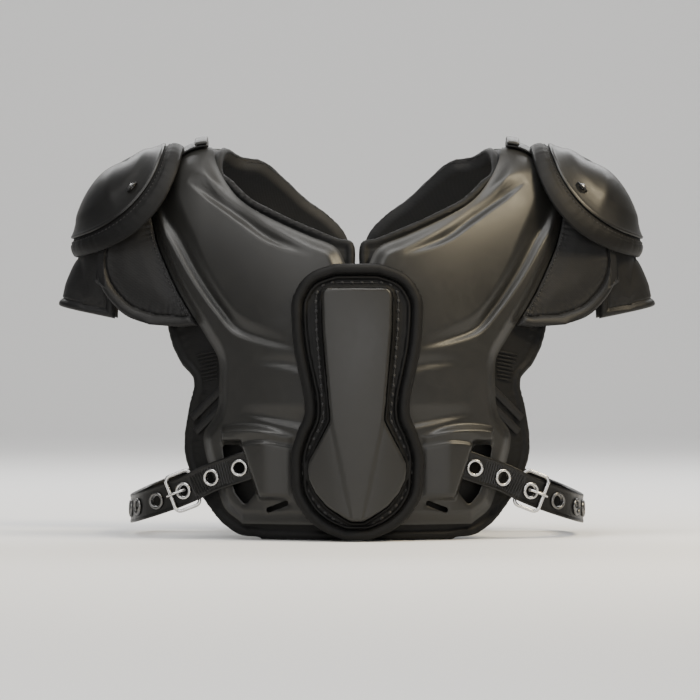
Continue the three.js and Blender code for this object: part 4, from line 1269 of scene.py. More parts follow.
@dataclass
class Cup:
    """The shoulder cup's own form: a shell like half an egg, tilted down the shoulder."""

    top_x: float = 173.0
    top_z: float = 352.0
    end_x: float = 258.0
    end_z: float = 266.0
    half_depth: float = 60.0
    rise: float = 22.0
    dip: float = 19.0
    thick: float = 2.6
    pad_thick: float = 6.0
    pad_margin: float = 8.0
    pad_roll: float = 5.0
    saddle: float = 3.4
    flare: float = 1.3
    fold: float = 1.5
    lip: float = 0.9
    edge_round: float = 1.3
    rivet_at: tuple[float, float] = (-0.2, -0.83)
    washer: float = 5.2
    rivet_size: tuple[float, float, float] = (4.1, 4.1, 2.4)
    pad_past: float = 1.5
    gather_pitch: float = 9.0
    seam: float = 0.7
    stitch_in: float = 7.6

    def axes(self) -> tuple[Array, Array, Array, float]:
        """Middle, the way down the slope, the way out of the crown, and the half length."""
        top, end = np.array([self.top_x, 0.0, self.top_z]), np.array([self.end_x, 0.0, self.end_z])
        down = unit(end - top)
        return (top + end) / 2, down, np.array([-down[2], 0.0, down[0]]), np.linalg.norm(end - top) / 2

    def at(self, u: Array, v: Array, below: Array) -> Array:
        """Point at shares of the half length and half depth, a distance below the outer face.

        The height over the middle is rise times (1 - u squared) less (rise + dip) times v squared.

        Args:
            u: Shares down the slope.
            v: Shares towards the back.
            below: Distances below the outer face.

        Returns:
            Points.
        """
        middle, down, out, half_length = self.axes()
        height = self.rise * (1 - u * u) - (self.rise + self.dip) * v * v - below
        depth = (v * self.half_depth)[..., None] * np.array([0.0, 1.0, 0.0])
        return middle + (u * half_length)[..., None] * down + height[..., None] * out + depth

    def disc(self, steps: int, reach: float) -> tuple[Array, Array]:
        """Grid over the disc, out to a reach: a square whose sides are bowed out to the circle."""
        a, b = np.meshgrid(2 * crowded(steps, 0.55) - 1, 2 * crowded(steps, 0.55) - 1)
        return reach * a * np.sqrt(1 - b * b / 2), reach * b * np.sqrt(1 - a * a / 2)

    def underside(self, x: Array, y: Array, below: float) -> Array:
        """Height of the face a distance below the outer one, over places in plan: 40 halvings for u.

        Args:
            x: Distances out.
            y: Places front to back.
            below: Distance below the outer face.

        Returns:
            Heights.
        """
        v = np.clip(y / self.half_depth, -1.2, 1.2)
        inner, outer = np.full_like(x, -1.5), np.full_like(x, 1 + self.pad_margin / self.half_depth)
        for _ in range(40):
            u = (inner + outer) / 2
            short = self.at(u, v, np.full_like(x, below))[..., 0] < x
            inner, outer = np.where(short, u, inner), np.where(short, outer, u)
        return self.at((inner + outer) / 2, v, np.full_like(x, below))[..., 2]

    def keep_under(self, points: Array) -> Array:
        """Points with those under the cup held below its padding."""
        x, y = points[..., 0], points[..., 1]
        ceiling = self.underside(x, y, self.thick + self.pad_thick + 4 * FORM.gap + 2.0)
        under = (x > self.top_x - 12.0) & (np.abs(y) < self.half_depth + 12.0)
        points = points.copy()
        points[..., 2] = np.where(under, np.minimum(points[..., 2], ceiling), points[..., 2])
        return points

    def build_shell(self) -> None:
        """Builds both cups: the form with a saddle near its top, a flared rim and a fold to the rivet."""
        u, v = self.disc(76, 1.0)
        ring = np.hypot(u, v)
        saddle = self.saddle * np.exp(-(((u + 0.42) / 0.24) ** 2) - (v / 0.62) ** 2)
        flare = self.flare * smooth((ring - 0.7) / 0.12) * (1 - smooth((ring - 0.86) / 0.14))
        fold_line = (u - 0.05) * 0.9 + (v + 0.55) * 0.45
        near_rivet = np.exp(-(((u - 0.1) / 0.35) ** 2) - ((v + 0.6) / 0.25) ** 2)
        fold = self.fold * np.exp(-((fold_line / 0.1) ** 2)) * near_rivet
        lip = self.lip * np.exp(-((1 - ring) / 0.03) ** 2)
        below = saddle + flare - fold - lip
        edge = (1 - ring) * self.half_depth
        share = round_edge(edge, self.edge_round)
        upper = self.at(u, v, below + self.thick / 2 * (1 - share))
        lower = self.at(u, v, below + self.thick / 2 * (1 + share))
        maker = MeshMaker()
        maker.shell(lower, upper)
        self.rivet(maker)
        hand_over(maker, "shoulder_cup", [Finish.CUP, Finish.METAL])

    def rivet(self, maker: MeshMaker) -> None:
        """Domed rivet near the front rim, on a low washer of the cup's own plastic."""
        place = tuple(np.array([share]) for share in self.rivet_at)
        foot = self.at(*place, np.array([0.9]))
        up = unit(self.at(*place, np.array([-1.0])) - self.at(*place, np.array([0.0])))
        along = np.array([[0.0, 1.0, 0.0]])
        turn = np.linspace(0.0, 2 * math.pi, 24, endpoint=False)
        side = np.cross(up[0], unit(along[0] - (along[0] @ up[0]) * up[0]))
        round_way = np.cos(turn)[:, None] * np.cross(side, up[0]) + np.sin(turn)[:, None] * side
        ring = foot + self.washer * round_way
        maker.tube(ring, np.broadcast_to(up[0], ring.shape), 1.0, 8, closed=True)
        maker.beads(foot + 0.3 * up, along, up, self.rivet_size, 1)

    def build_pad(self) -> None:
        """Builds both cup pads: a thin pad with a fat rolled rim past the cup, a seam and stitches."""
        reach = 1 + (self.pad_margin + self.pad_past) / self.half_depth
        u, v = self.disc(80, reach)
        ring = np.hypot(u, v)
        edge = (reach - ring) * self.half_depth
        run = np.arctan2(v, u) * self.half_depth
        radius = self.pad_roll
        middle = self.thick + FORM.gap + self.pad_thick / 2
        fold = gathers(run, self.gather_pitch) * np.exp(-edge / 12.0)
        seam = self.seam * np.exp(-((edge - 1.15 * radius) / 0.6) ** 2)
        half = np.where(edge < radius, radius * round_edge(edge, radius), 0.0)
        past = radius * np.sqrt(np.clip(1 - ((edge - radius) / radius) ** 2, 0.0, 1.0))
        half = np.where(edge >= radius, np.maximum(past, self.pad_thick / 2), half)
        upper = self.at(u, v, middle - half * (1 + 0.08 * fold) + seam)
        lower = self.at(u, v, middle + half * (1 + 0.04 * fold))
        maker = MeshMaker()
        maker.shell(lower, upper)
        self.rim_stitches(maker, reach)
        hand_over(maker, "cup_pad", [Finish.CLOTH, Finish.THREAD])

    def rim_stitches(self, maker: MeshMaker, reach: float) -> None:
        """Short stitches on the rolled rim beside the cup's edge."""
        turn = np.linspace(0.0, 2 * math.pi, 96, endpoint=False)
        share = reach - self.stitch_in / self.half_depth
        u, v = share * np.cos(turn), share * np.sin(turn)
        middle = self.thick + FORM.gap + self.pad_thick / 2
        height = math.sqrt(self.pad_roll**2 - (self.stitch_in - self.pad_roll) ** 2)
        places = self.at(u, v, np.full_like(u, middle - height + 0.1))
        up = unit(self.at(u, v, np.full_like(u, -1.0)) - self.at(u, v, np.zeros_like(u)))
        along = np.gradient(places, axis=0)
        maker.beads(places, along, up, (1.3, 0.4, 0.45), 1)


CUP = Cup()


@dataclass
class BodyFlap:
    """Padded flap beside a plate, front or back of the arm: a rolled rim, a seam and gathered cloth."""

    node: str
    plate: Outline
    back: bool
    thick: float = 7.0
    flare: float = 12.0
    seam_gap: float = 1.6
    hang: float = 152.0
    roll_radius: float = 4.6
    steps: tuple[int, int] = (80, 88)
    rows: tuple[tuple[float, float], ...] = (
        (0.54, 0.657),
        (0.561, 0.733),
        (0.592, 0.783),
        (0.631, 0.823),
        (0.68, 0.847),
        (0.73, 0.847),
        (0.775, 0.835),
        (0.815, 0.79),
    )

    def outline(self) -> Outline:
        """The flap's own outline. Its inner edge follows the plate's outer edge at each row's height."""
        shares = np.linspace(0.0, 1.0, 2001)
        edge = self.plate.at(np.ones_like(shares), shares)
        values = []
        for up, out_x in self.rows:
            height = up * FORM.ridge_height
            share = np.interp(height, edge[:, 2], shares)
            in_x = float(self.plate.column(1, np.array(share))) + self.seam_gap
            far = out_x * FORM.half_width
            ridges = [FORM.ridge(min(x, self.hang)) for x in (in_x, far)]
            turns = [float(FORM.turn_of(np.array(height / ridge), self.back)) for ridge in ridges]
            values.append([in_x, far, *turns])
        made = copy.copy(self.plate)
        made.values = np.array(values)
        made.hang = self.hang
        return made

    def build(self) -> None:
        """Builds both flaps.

        Across the rolled rim the face is a half circle. Past the seam it swells to a low crown, with gathers
        that run in from the seam and from the plate side.
        """
        outline = self.outline()
        across, along = np.meshgrid(crowded(self.steps[0], 0.5), crowded(self.steps[1], 0.5))
        base = outline.at(across, along)
        t = np.linspace(0.0, 1.0, 300)
        free = even_path(np.vstack([outline.at(t, 0 * t), outline.at(0 * t + 1, t)]), 1.0)
        held = even_path(outline.at(0 * t, t), 1.0)
        edge, run = nearest(base, free)
        near_plate, plate_run = nearest(base, held)
        top = (1 - along) * 85.0
        radius = self.roll_radius
        bead = roll(edge, radius, radius)
        inside = np.clip(edge - 2 * radius, 0.0, None)
        crown = 1.2 + 2.2 * smooth(inside / 22.0) * smooth(near_plate / 16.0)
        pucker = 0.55 * gathers(run, 6.5) * np.exp(-inside / 6.0) * (edge > 2 * radius)
        ruffle = 0.8 * gathers(plate_run, 5.0) * np.exp(-near_plate / 5.0)
        swell = crown * smooth(inside / 2.2) + pucker * smooth(inside / 1.5)
        panel = np.where(edge > 2 * radius, swell, 0.0)
        closing = round_edge(near_plate, 3.5) * round_edge(top, 3.0)
        half = self.thick / 2
        stand = self.flare * across + half
        high = stand + (np.maximum(bead, panel) + ruffle * (edge > 2 * radius)) * closing
        low = stand - (half - FORM.gap) * round_edge(np.minimum(edge, near_plate), 4.0)
        maker = MeshMaker()
        lower = CUP.keep_under(outline.at(across, along, np.minimum(low, high - 0.3)))
        upper = CUP.keep_under(outline.at(across, along, high))
        maker.shell(lower, upper)
        self.seam_stitches(maker, outline)
        hand_over(maker, self.node, [Finish.BINDING, Finish.THREAD])

    def seam_stitches(self, maker: MeshMaker, outline: Outline) -> None:
        """Row of short stitches down the plate side."""
        along = np.linspace(0.06, 0.86, 34)
        across = np.full_like(along, 0.035)
        off = self.flare * across + self.thick / 2 + 1.6
        places = outline.at(across, along, off)
        up = unit(outline.at(across, along, off + 1.0) - places)
        maker.beads(places, np.gradient(places, axis=0), up, (0.9, 0.45, 0.6), 1)


@dataclass
class ArmFlap:
    """Padded flap that hangs outside the arm, bowed round it and flared at its foot, with a rolled hem."""

    centre: float = 200.0
    half_depth: float = 38.0
    top_reach: float = 52.0
    bottom_reach: float = 70.0
    bottom: float = 205.0
    spread: float = 75.0
    thick: float = 7.0
    roll_radius: float = 3.6
    corner_drop: float = 11.0
    arc_length: float = 150.0

    def hem(self, across: Array) -> Array:
        """Height of the hem, which falls towards the flap's front and back corners."""
        return self.bottom - self.corner_drop * np.abs(2 * across - 1) ** 1.6

    def face(self, across: Array, down: Array, out: Array) -> Array:
        """Points of the flap: an ellipse in plan whose reach grows downwards, fastest at the top.

        Args:
            across: Shares from the front edge to the back one.
            down: Shares from the cup padding to the hem.
            out: Distances in from the outer face.

        Returns:
            Points.
        """
        angle = math.radians(self.spread) * (2 * across - 1)
        reach = self.top_reach + down**0.75 * (self.bottom_reach - self.top_reach) - out
        x = self.centre + reach * np.cos(angle)
        y = (self.half_depth - out) * np.sin(angle)
        top = CUP.underside(x, y, CUP.thick + CUP.pad_thick + 4 * FORM.gap + 2.0)
        return np.stack([x, y, top + down * (self.hem(across) - top)], axis=-1)

    def build(self) -> None:
        """Builds both flaps: the outer face swells between a rolled hem with its seam and rounded sides."""
        across, down = np.meshgrid(crowded(84, 0.7), crowded(64, 0.4))
        hem = self.face(across, down, self.thick / 2)[..., 2] - self.hem(across)
        side = np.minimum(across, 1 - across) * self.arc_length
        edge = np.minimum(hem, side)
        radius = self.roll_radius
        run = across * self.arc_length
        inside = np.clip(edge - 2 * radius, 0.0, None)
        bead = roll(edge, radius, radius)
        pucker = 0.4 * gathers(run + 0.7 * hem, 8.0) * np.exp(-inside / 6.0) * smooth(inside / 1.5)
        swell = 2.0 * smooth(inside / 2.0) + 1.6 * smooth(inside / 14.0) + pucker
        panel = np.where(edge > 2 * radius, swell, 0.0)
        half = self.thick / 2
        upper = self.face(across, down, half - np.maximum.reduce([bead, panel, 1.2 * (edge > radius)]))
        lower = self.face(across, down, half * (1 + round_edge(edge, 4.0)) + 0.15)
        maker = MeshMaker()
        maker.shell(lower, upper)
        hand_over(maker, "arm_flap", [Finish.BINDING])


@dataclass
class ShoulderStrap:
    """Webbing over the shoulder ridge, and the flat loop that holds its inner end."""

    inner: float = 134.0
    outer: float = 172.0
    thick: float = 2.2
    turn: float = 12.0
    keeper_width: float = 9.0
    keeper_thick: float = 3.0

    def sheet(self, start: float, end: float, low: float, high: float, swell: float) -> MeshMaker:
        """Band over the ridge between two distances out, with rounded edges.

        Args:
            start: Inner edge.
            end: Outer edge.
            low: Distance of its under face off the padding.
            high: Distance of its outer face.
            swell: Radius of its edges.

        Returns:
            The gathered surface.
        """
        x, turn = np.meshgrid(
            start + (end - start) * crowded(20, 0.6),
            math.pi / 2 + math.radians(self.turn) * (2 * crowded(40, 0.4) - 1),
        )
        side = np.minimum(x - start, end - x)
        far = (math.radians(self.turn) - np.abs(turn - math.pi / 2)) * 110.0
        share = round_edge(np.minimum(side, far), swell)
        middle, half = (low + high) / 2, (high - low) / 2
        lower = CUP.keep_under(FORM.on_body(x, turn, middle - half * share))
        upper = CUP.keep_under(FORM.on_body(x, turn, middle + half * share + 0.02))
        maker = MeshMaker()
        maker.shell(lower, upper)
        return maker

    def build(self) -> None:
        """Builds both straps and both loops."""
        low = FORM.gap + FORM.plate_thick + FORM.gap + 1.2
        strap = self.sheet(self.inner, self.outer, low, low + self.thick, 0.9)
        hand_over(strap, "ridge_strap", [Finish.WEBBING])
        foot = low + self.thick + FORM.gap
        start = self.inner + FORM.gap
        keeper = self.sheet(start, start + self.keeper_width, foot, foot + self.keeper_thick, 1.5)
        hand_over(keeper, "strap_keeper", [Finish.SHELL])


@dataclass
class SideBelt:
    """Belt out of the plate's window round the side, with its eyelets, wire buckle and prong."""

    width: float = 25.4
    thick: float = 2.6
    reach: float = 203.0
    low: float = 23.0
    pitch: float = 0.384
    tuck: float = 84.0
    spacing: float = 29.0
    start: float = 18.0
    count: int = 6
    hole: float = 10.0
    flange: float = 15.5
    buckle_length: float = 23.0
    buckle_width: float = 33.0
    wire: float = 3.2
    corner: float = 5.0
    prong_wire: float = 2.4
    # How many eyelets keep the plain nickel; the ones after them get the darkened copy, which is painted
    # shade.
    unshaded_eyelets: int = 3

    def __post_init__(self) -> None:
        """Lays out the belt's line, with its lengths and frames."""
        over = FORM.guard_off + self.thick / 2
        front = self.spot(0.46 * FORM.half_width, over + 2, False)
        back = self.spot(0.48 * FORM.half_width, over + 2, True)
        rows = [
            self.spot(self.tuck, 6.5, False),
            self.spot(self.tuck + 20, 12.0, False),
            front,
            [self.reach - 50, 0.93 * front[1], self.height(self.reach - 50)],
            [self.reach - 14, 0.7 * front[1], self.height(self.reach - 14)],
            [self.reach, -8.0, self.low],
            [self.reach - 14, 0.7 * back[1], self.height(self.reach - 14)],
            [self.reach - 50, 0.93 * back[1], self.height(self.reach - 50)],
            back,
            self.spot(self.tuck + 12, over, True),
        ]
        self.path = even_path(curve_through(np.array(rows, float), 60), 0.5)
        self.run = run_lengths(self.path)
        along = unit(np.gradient(self.path, axis=0))
        out = unit(np.stack([along[:, 1], -along[:, 0], 0 * along[:, 0]], axis=1))
        self.along = along
        self.wide = unit(np.cross(out, along))
        self.out = unit(np.cross(along, self.wide))

    def height(self, x: float) -> float:
        """Height of the belt's middle line at a distance out."""
        return self.low + self.pitch * (self.reach - x)

    def spot(self, x: float, off: float, back: bool) -> Array:
        """Point of the belt's line over the padding."""
        z = self.height(x)
        point = FORM.on_body(x, FORM.turn_of(np.array(z / FORM.ridge(x)), back), off)
        return np.array([point[0], point[1], z])

    def place(self, length: float) -> tuple[Array, Array, Array, Array]:
        """Point, along, wide and out at a length along the belt."""
        parts = (self.path, self.along, self.wide, self.out)
        return tuple(
            np.array([np.interp(length, self.run, part[:, k]) for k in range(3)]) for part in parts
        )

    def eyelet_lengths(self) -> Array:
        """Lengths along the belt at which the eyelets sit."""
        return self.start + self.spacing * np.arange(self.count)

    def build_strap(self) -> None:
        """Builds both belts: a pierced strip with raised edges and cross ribs at its elastic stretch."""
        lengths = np.concatenate(
            [
                np.arange(0.0, 20.0, 1.0),
                np.arange(20.0, 70.0, 0.5),
                np.arange(70.0, 176.0, 1.0),
                np.linspace(176.0, self.run[-1], 66),
            ]
        )
        shares = 2 * crowded(24, 0.4) - 1
        middle, wide, out = (
            np.stack([np.interp(lengths, self.run, part[:, k]) for k in range(3)], axis=1)
            for part in (self.path, self.wide, self.out)
        )
        across, along = np.meshgrid(shares * self.width / 2, lengths)
        elastic = smooth((along - 24.0) / 3.0) * (1 - smooth((along - 66.0) / 3.0))
        side = self.width / 2 - np.abs(across)
        field_share = smooth((side - 2.2) / 1.2)
        rib = 0.42 * np.sin(2 * math.pi * along / 2.5) * elastic * field_share
        edge = 0.35 * roll(side, 1.3, 1.1)
        off = self.thick / 2 + rib + edge - 0.3
        points = middle[:, None, :] + across[..., None] * wide[:, None, :]
        points = points + off[..., None] * out[:, None, :]
        flat = np.stack([across, along], axis=-1)
        maker = MeshMaker()
        corners, faces = pierced(points, flat, self.hole_distance, 0.1)
        outward = np.array([0.2, -1.0, 0.0])
        direction = unit(corners - np.array([100.0, 0.0, 0.0]))
        direction[:, 2] = 0.0
        maker.add(corners, [faces], 0, direction + 0.05 * outward)
        thicken(hand_over(maker, "side_belt", [Finish.WEBBING]), self.thick - 0.3, 0.35)

    def hole_distance(self, places: Array) -> Array:
        """Signed distance to the belt's eyelet holes."""
        radius = self.hole / 2 + 0.9 + FORM.gap
        away = [np.hypot(places[:, 0], places[:, 1] - length) for length in self.eyelet_lengths()]
        return np.min(away, axis=0) - radius

    def ring(self, length: float) -> MeshMaker:
        """One eyelet: a barrel and a half round flange turned about its axis.

        Args:
            length: Where it sits on the belt.

        Returns:
            The gathered surface.
        """
        middle, along, wide, out = self.place(length)
        inner, flange = self.hole / 2, self.flange / 2
        low = self.thick / 2 + 0.3
        turn = np.linspace(0.0, math.pi, 9)
        bead_mid, bead_half = (inner + flange) / 2, (flange - inner) / 2
        radii = [inner, inner + 0.9, inner + 0.9]
        heights = [-self.thick / 2, -self.thick / 2, low]
        radii += list(bead_mid + bead_half * np.cos(turn))
        heights += list(low + 1.5 * np.sin(turn))
        spokes = np.linspace(0.0, 2 * math.pi, 40, endpoint=False)
        radius, angle = np.meshgrid(radii, spokes)
        height, _ = np.meshgrid(heights, spokes)
        points = (
            middle
            + (radius * np.cos(angle))[..., None] * along
            + (radius * np.sin(angle))[..., None] * wide
            + height[..., None] * out
        )
        numbers = np.arange(points.shape[0] * points.shape[1]).reshape(points.shape[:2])
        numbers = np.concatenate([numbers, numbers[:, :1]], axis=1)
        numbers = np.vstack([numbers, numbers[:1]])
        maker = MeshMaker()
        maker.add(points.reshape(-1, 3), [quads(numbers)])
        return maker

    def buckle_axes(self) -> tuple[Array, Array, Array, Array]:
        """Middle and axes of the buckle: its inner bar lies under the belt and its outer bar over it."""
        at = self.eyelet_lengths()[2] + 1
        off = (self.thick + self.wire) / 2 + 2.5 * FORM.gap
        bars = []
        for side in (-1, 1):
            middle, _, _, out = self.place(at + side * self.buckle_length / 2)
            bars.append(middle + side * off * out)
        along = unit(bars[1] - bars[0])
        wide = self.place(at)[2]
        wide = unit(wide - (wide @ along) * along)
        return (bars[0] + bars[1]) / 2, along, wide, np.cross(along, wide)

    def build_buckle(self) -> None:
        """Builds both buckles, a wire loop with round corners, and both prongs, bent into an eyelet."""
        middle, along, wide, up = self.buckle_axes()
        half_length, half_width = self.buckle_length / 2, self.buckle_width / 2
        turn = np.linspace(0.0, math.pi / 2, 9)
        corners = []
        for index, (a, b) in enumerate(((1, 1), (-1, 1), (-1, -1), (1, -1))):
            angle = turn + index * math.pi / 2
            corners.append(
                np.stack(
                    [
                        a * (half_length - self.corner) + self.corner * np.cos(angle),
                        b * (half_width - self.corner) + self.corner * np.sin(angle),
                    ],
                    axis=1,
                )
            )
        loop = np.vstack([*corners, corners[0][:1]])
        loop = even_path(loop, 1.0)[:-1]
        path = middle + loop[:, :1] * along + loop[:, 1:] * wide
        maker = MeshMaker()
        maker.tube(path, np.broadcast_to(up, path.shape), self.wire / 2, 16, closed=True)
        hand_over(maker, "buckle", [Finish.METAL])
        over = (self.wire + self.prong_wire) / 2 + 2 * FORM.gap
        bar = half_length
        local = np.array(
            [
                [bar + over, 0],
                [bar + 0.7 * over, 0.7 * over],
                [bar, over],
                [bar / 2, 1.2 * over],
                [0, 0.75 * over],
                [-2, 0.2 * over],
            ]
        )
        path = curve_through(middle + local[:, :1] * along + local[:, 1:] * up, 8)
        maker = MeshMaker()
        maker.tube(path, np.broadcast_to(wide, path.shape), self.prong_wire / 2, 12)
        hand_over(maker, "buckle_prong", [Finish.METAL])

    def build(self) -> None:
        """Builds both belts with their metal."""
        self.build_strap()
        for index, length in enumerate(self.eyelet_lengths()):
            # Eyelets past the first few take the darkened nickel: painted shade where they lie in shadow.
            finish = Finish.METAL if index < self.unshaded_eyelets else Finish.NICKEL_PAINTED_SHADE
            hand_over(self.ring(length), f"eyelet_{index + 1}", [finish])
        self.build_buckle()


@dataclass
class SternumGuard:
    """Padded board over the breastbone with its hard plate: rolled rim, piping, stitched channel, wedge."""

    top: float = 238.0
    half_width: float = 53.0
    roll_radius: float = 4.4
    waist: float = 105.0
    wedge_foot: float = 4.2
    plate_thick: float = 5.6
    plate: tuple[tuple[float, float], ...] = (
        (17.5, 4.5),
        (21.6, 11.0),
        (30.6, 23.0),
        (42.6, 32.0),
        (54.0, 36.8),
        (62.0, 37.8),
        (69.0, 37.2),
        (105.0, 20.2),
        (184.0, 26.5),
        (209.0, 27.2),
        (214.0, 26.2),
        (216.5, 23.0),
    )
    rows: tuple[tuple[float, float, float], ...] = (
        (1.0, 0.34, 0.3),
        (0.975, 0.66, 0.46),
        (0.945, 0.83, 0.54),
        (0.905, 0.94, 0.54),
        (0.86, 1.0, 0.53),
        (0.77, 0.99, 0.48),
        (0.69, 0.95, 0.42),
        (0.6, 0.87, 0.35),
        (0.52, 0.8, 0.29),
        (0.455, 0.8, 0.27),
        (0.4, 0.9, 0.49),
        (0.32, 1.0, 0.66),
        (0.24, 1.0, 0.66),
        (0.17, 0.97, 0.57),
        (0.11, 0.84, 0.4),
        (0.075, 0.72, 0.24),
        (0.035, 0.5, 0.16),
        (0.004, 0.2, 0.1),
    )

    def column(self, key: int, share: Array) -> Array:
        """Value of a column at shares of the way down, on a smooth curve through the rows."""
        return through_rows(np.array(self.rows)[:, key], share)

    def flat(self, key: int, inset: float, across: Array, along: Array) -> tuple[Array, Array]:
        """Places across and up at shares, between the outline's two sides."""
        down = inset + along * (1 - 2 * inset)
        half = self.column(key, down) * self.half_width
        return (2 * across - 1) * half, self.column(0, down) * self.top

    def outline(self, key: int, inset: float) -> Array:
        """Closed outline in the plane of width and height."""
        t = np.linspace(0.0, 1.0, 400)
        sides = [
            self.flat(key, inset, 0 * t + 1, t),
            self.flat(key, inset, 1 - t, 0 * t + 1),
            self.flat(key, inset, 0 * t, 1 - t),
            self.flat(key, inset, t, 0 * t),
        ]
        path = np.hstack([np.stack(side) for side in sides]).T
        return even_path(path, 0.8)

    def flat_distance(self, x: Array, z: Array, outline: Array) -> tuple[Array, Array]:
        """Distance and run to the outline in that plane."""
        places = np.stack([x, 0 * x, z], axis=-1)
        path = np.stack([outline[:, 0], 0 * outline[:, 0], outline[:, 1]], axis=1)
        return nearest(places, path)

    def plate_half(self, z: Array) -> Array:
        """Half width of the plate at a height: straight tapers to a waist and out to a pointed shield."""
        return np.interp(z, *np.array(self.plate).T)

    def plate_ends(self) -> tuple[float, float]:
        """Heights of the plate's foot and top."""
        return self.plate[0][0], self.plate[-1][0]

    def plate_outline(self, grow: float) -> Array:
        """Closed outline of the plate, grown outwards, in the plane of width and height.

        Each point moves along the outline's own normal. Points that come nearer than the growth are dropped.

        Args:
            grow: Distance to grow by.

        Returns:
            Points about a millimetre apart.
        """
        z = np.linspace(*self.plate_ends(), 400)
        half = self.plate_half(z)
        right = np.stack([half, z], axis=1)
        left = np.stack([-half, z], axis=1)[::-1]
        line = even_path(np.vstack([right, left, right[:1]]), 0.8)[:-1]
        along = unit(np.roll(line, -2, axis=0) - np.roll(line, 2, axis=0))
        grown = line + grow * np.stack([along[:, 1], -along[:, 0]], axis=1)
        away, _ = self.flat_distance(grown[:, 0], grown[:, 1], np.vstack([line, line[:1]]))
        grown = grown[away > grow - 0.25]
        return even_path(np.vstack([grown, grown[:1]]), 1.0)

    def build_pad(self) -> None:
        """Builds the board.

        Its face rises over a rolled rim, drops into a seam, crosses a bead of piping that runs with the rim,
        a stitched channel, and a second bead that runs with the plate's edge.
        """
        across, along = np.meshgrid(crowded(108, 0.45), crowded(184, 0.3))
        x, z = self.flat(1, 0.0, across, along)
        rim = self.outline(1, 0.0)
        edge, run = self.flat_distance(x, z, rim)
        plate, _ = self.flat_distance(x, z, self.plate_outline(0.05))
        foot, top = self.plate_ends()
        under = (np.abs(x) < self.plate_half(z)) & (z > foot) & (z < top)
        radius, thick = self.roll_radius, FORM.guard_thick
        level = thick - radius - 1.6
        bead = level + 1.6 + roll(edge, radius, radius) * (1 + 0.03 * gathers(run, 26.0))
        piping = level + 2.2 * np.maximum(roll(edge, 11.0, 1.5) / 1.5, roll(plate, 2.3, 1.5) / 1.5)
        tuck = 0.7 * smooth((edge - 14.0) / 2.0) * smooth((plate - 4.5) / 1.0)
        face = np.where(under, level + 1.0, np.maximum(piping - tuck, level - 0.7))
        high = np.where(edge < 2 * radius, np.maximum(bead, level), face)
        low = level * (1 - round_edge(edge, 5.0))
        seat = FORM.guard_off
        maker = MeshMaker()
        maker.shell(FORM.on_face(x, z, seat + low), FORM.on_face(x, z, seat + np.maximum(high, low + 0.2)))
        self.stitches(maker, seat + level - 0.6)
        hand_over(maker, "sternum_pad", [Finish.CLOTH, Finish.THREAD], single=True)

    def stitches(self, maker: MeshMaker, off: float) -> None:
        """Thread round the plate between the two beads, with a raised stitch at each hole."""
        line = self.plate_outline(6.4)[:-1]
        path = FORM.on_face(line[:, 0], line[:, 1], off)
        up = FORM.on_face(line[:, 0], line[:, 1], off + 1.0) - path
        maker.tube(path, up, 0.5, 6, closed=True, slot=1)
        step = 8
        along = (np.roll(path, -1, axis=0) - path)[::step]
        maker.beads(path[::step], along, unit(up[::step]), (2.1, 1.5, 1.5), 1)

    def build_plate(self) -> None:
        """Builds the plate: flat above the waist, and below it a wedge between two scored lines."""
        foot, top = self.plate_ends()
        z, across = np.meshgrid(foot + (top - foot) * crowded(126, 0.2), crowded(56, 0.45), indexing="ij")
        x = (2 * across - 1) * self.plate_half(z)
        edge, _ = self.flat_distance(x, z, self.plate_outline(0.0))
        seat = FORM.guard_off + FORM.guard_thick + FORM.gap
        wedge = np.interp(z, [foot, self.waist], [self.wedge_foot, self.plate_half(np.array(self.waist))])
        inside = wedge - np.abs(x)
        below = smooth((self.waist - z) / 3.0)
        score = 1.1 * np.exp(-((inside / 0.8) ** 2)) * below
        shield = 1.1 * smooth(-inside / 1.2) * below + 1.4 * smooth((-inside - 1.0) / 22.0) * below
        crown = 0.7 * (1 - (x / 30.0) ** 2)
        height = self.plate_thick + crown - score - shield
        share = round_edge(edge, 2.4)
        low = seat + 0.4 * (1 - share)
        high = seat + 0.6 + (height - 0.6) * (0.3 + 0.7 * share)
        maker = MeshMaker()
        maker.shell(FORM.on_face(x, z, low), FORM.on_face(x, z, high))
        hand_over(maker, "sternum_plate", [Finish.SHELL], single=True)

    def build(self) -> None:
        """Builds the board and the plate."""
        self.build_pad()
        self.build_plate()


@dataclass
class BackStrip:
    """Elastic strip over the back plates' inner edges: close upright ribs between bound edges."""

    half_width: float = 24.0
    low: float = 0.2
    high: float = 0.6
    thick: float = 3.0
    settle: float = 0.7

    def build(self) -> None:
        """Builds the strip: ribs are a sine wave across it, flattened at its edges."""
        across, up = np.meshgrid(crowded(110, 0.3), crowded(30, 0.5))
        x = (2 * across - 1) * self.half_width
        turn = FORM.turn_of(self.low + up * (self.high - self.low), True)
        side = self.half_width - np.abs(x)
        end = np.minimum(up, 1 - up) * 140.0
        rib = 0.45 * np.sin(2 * math.pi * x / 3.0) * smooth((np.minimum(side, end) - 4.0) / 1.5)
        share = round_edge(np.minimum(side, end), 1.4)
        seat = FORM.guard_off - self.settle
        middle, half = seat + self.thick / 2, self.thick / 2
        sign = np.where(x < 0, -1.0, 1.0)
        maker = MeshMaker()
        faces = []
        for off in (middle - half * share, middle + half * share + rib - 0.4 * (1 - share)):
            points = FORM.on_body(np.abs(x), turn, off).copy()
            points[..., 0] *= sign
            faces.append(points)
        maker.shell(*faces)
        hand_over(maker, "back_strip", [Finish.WEBBING], single=True)


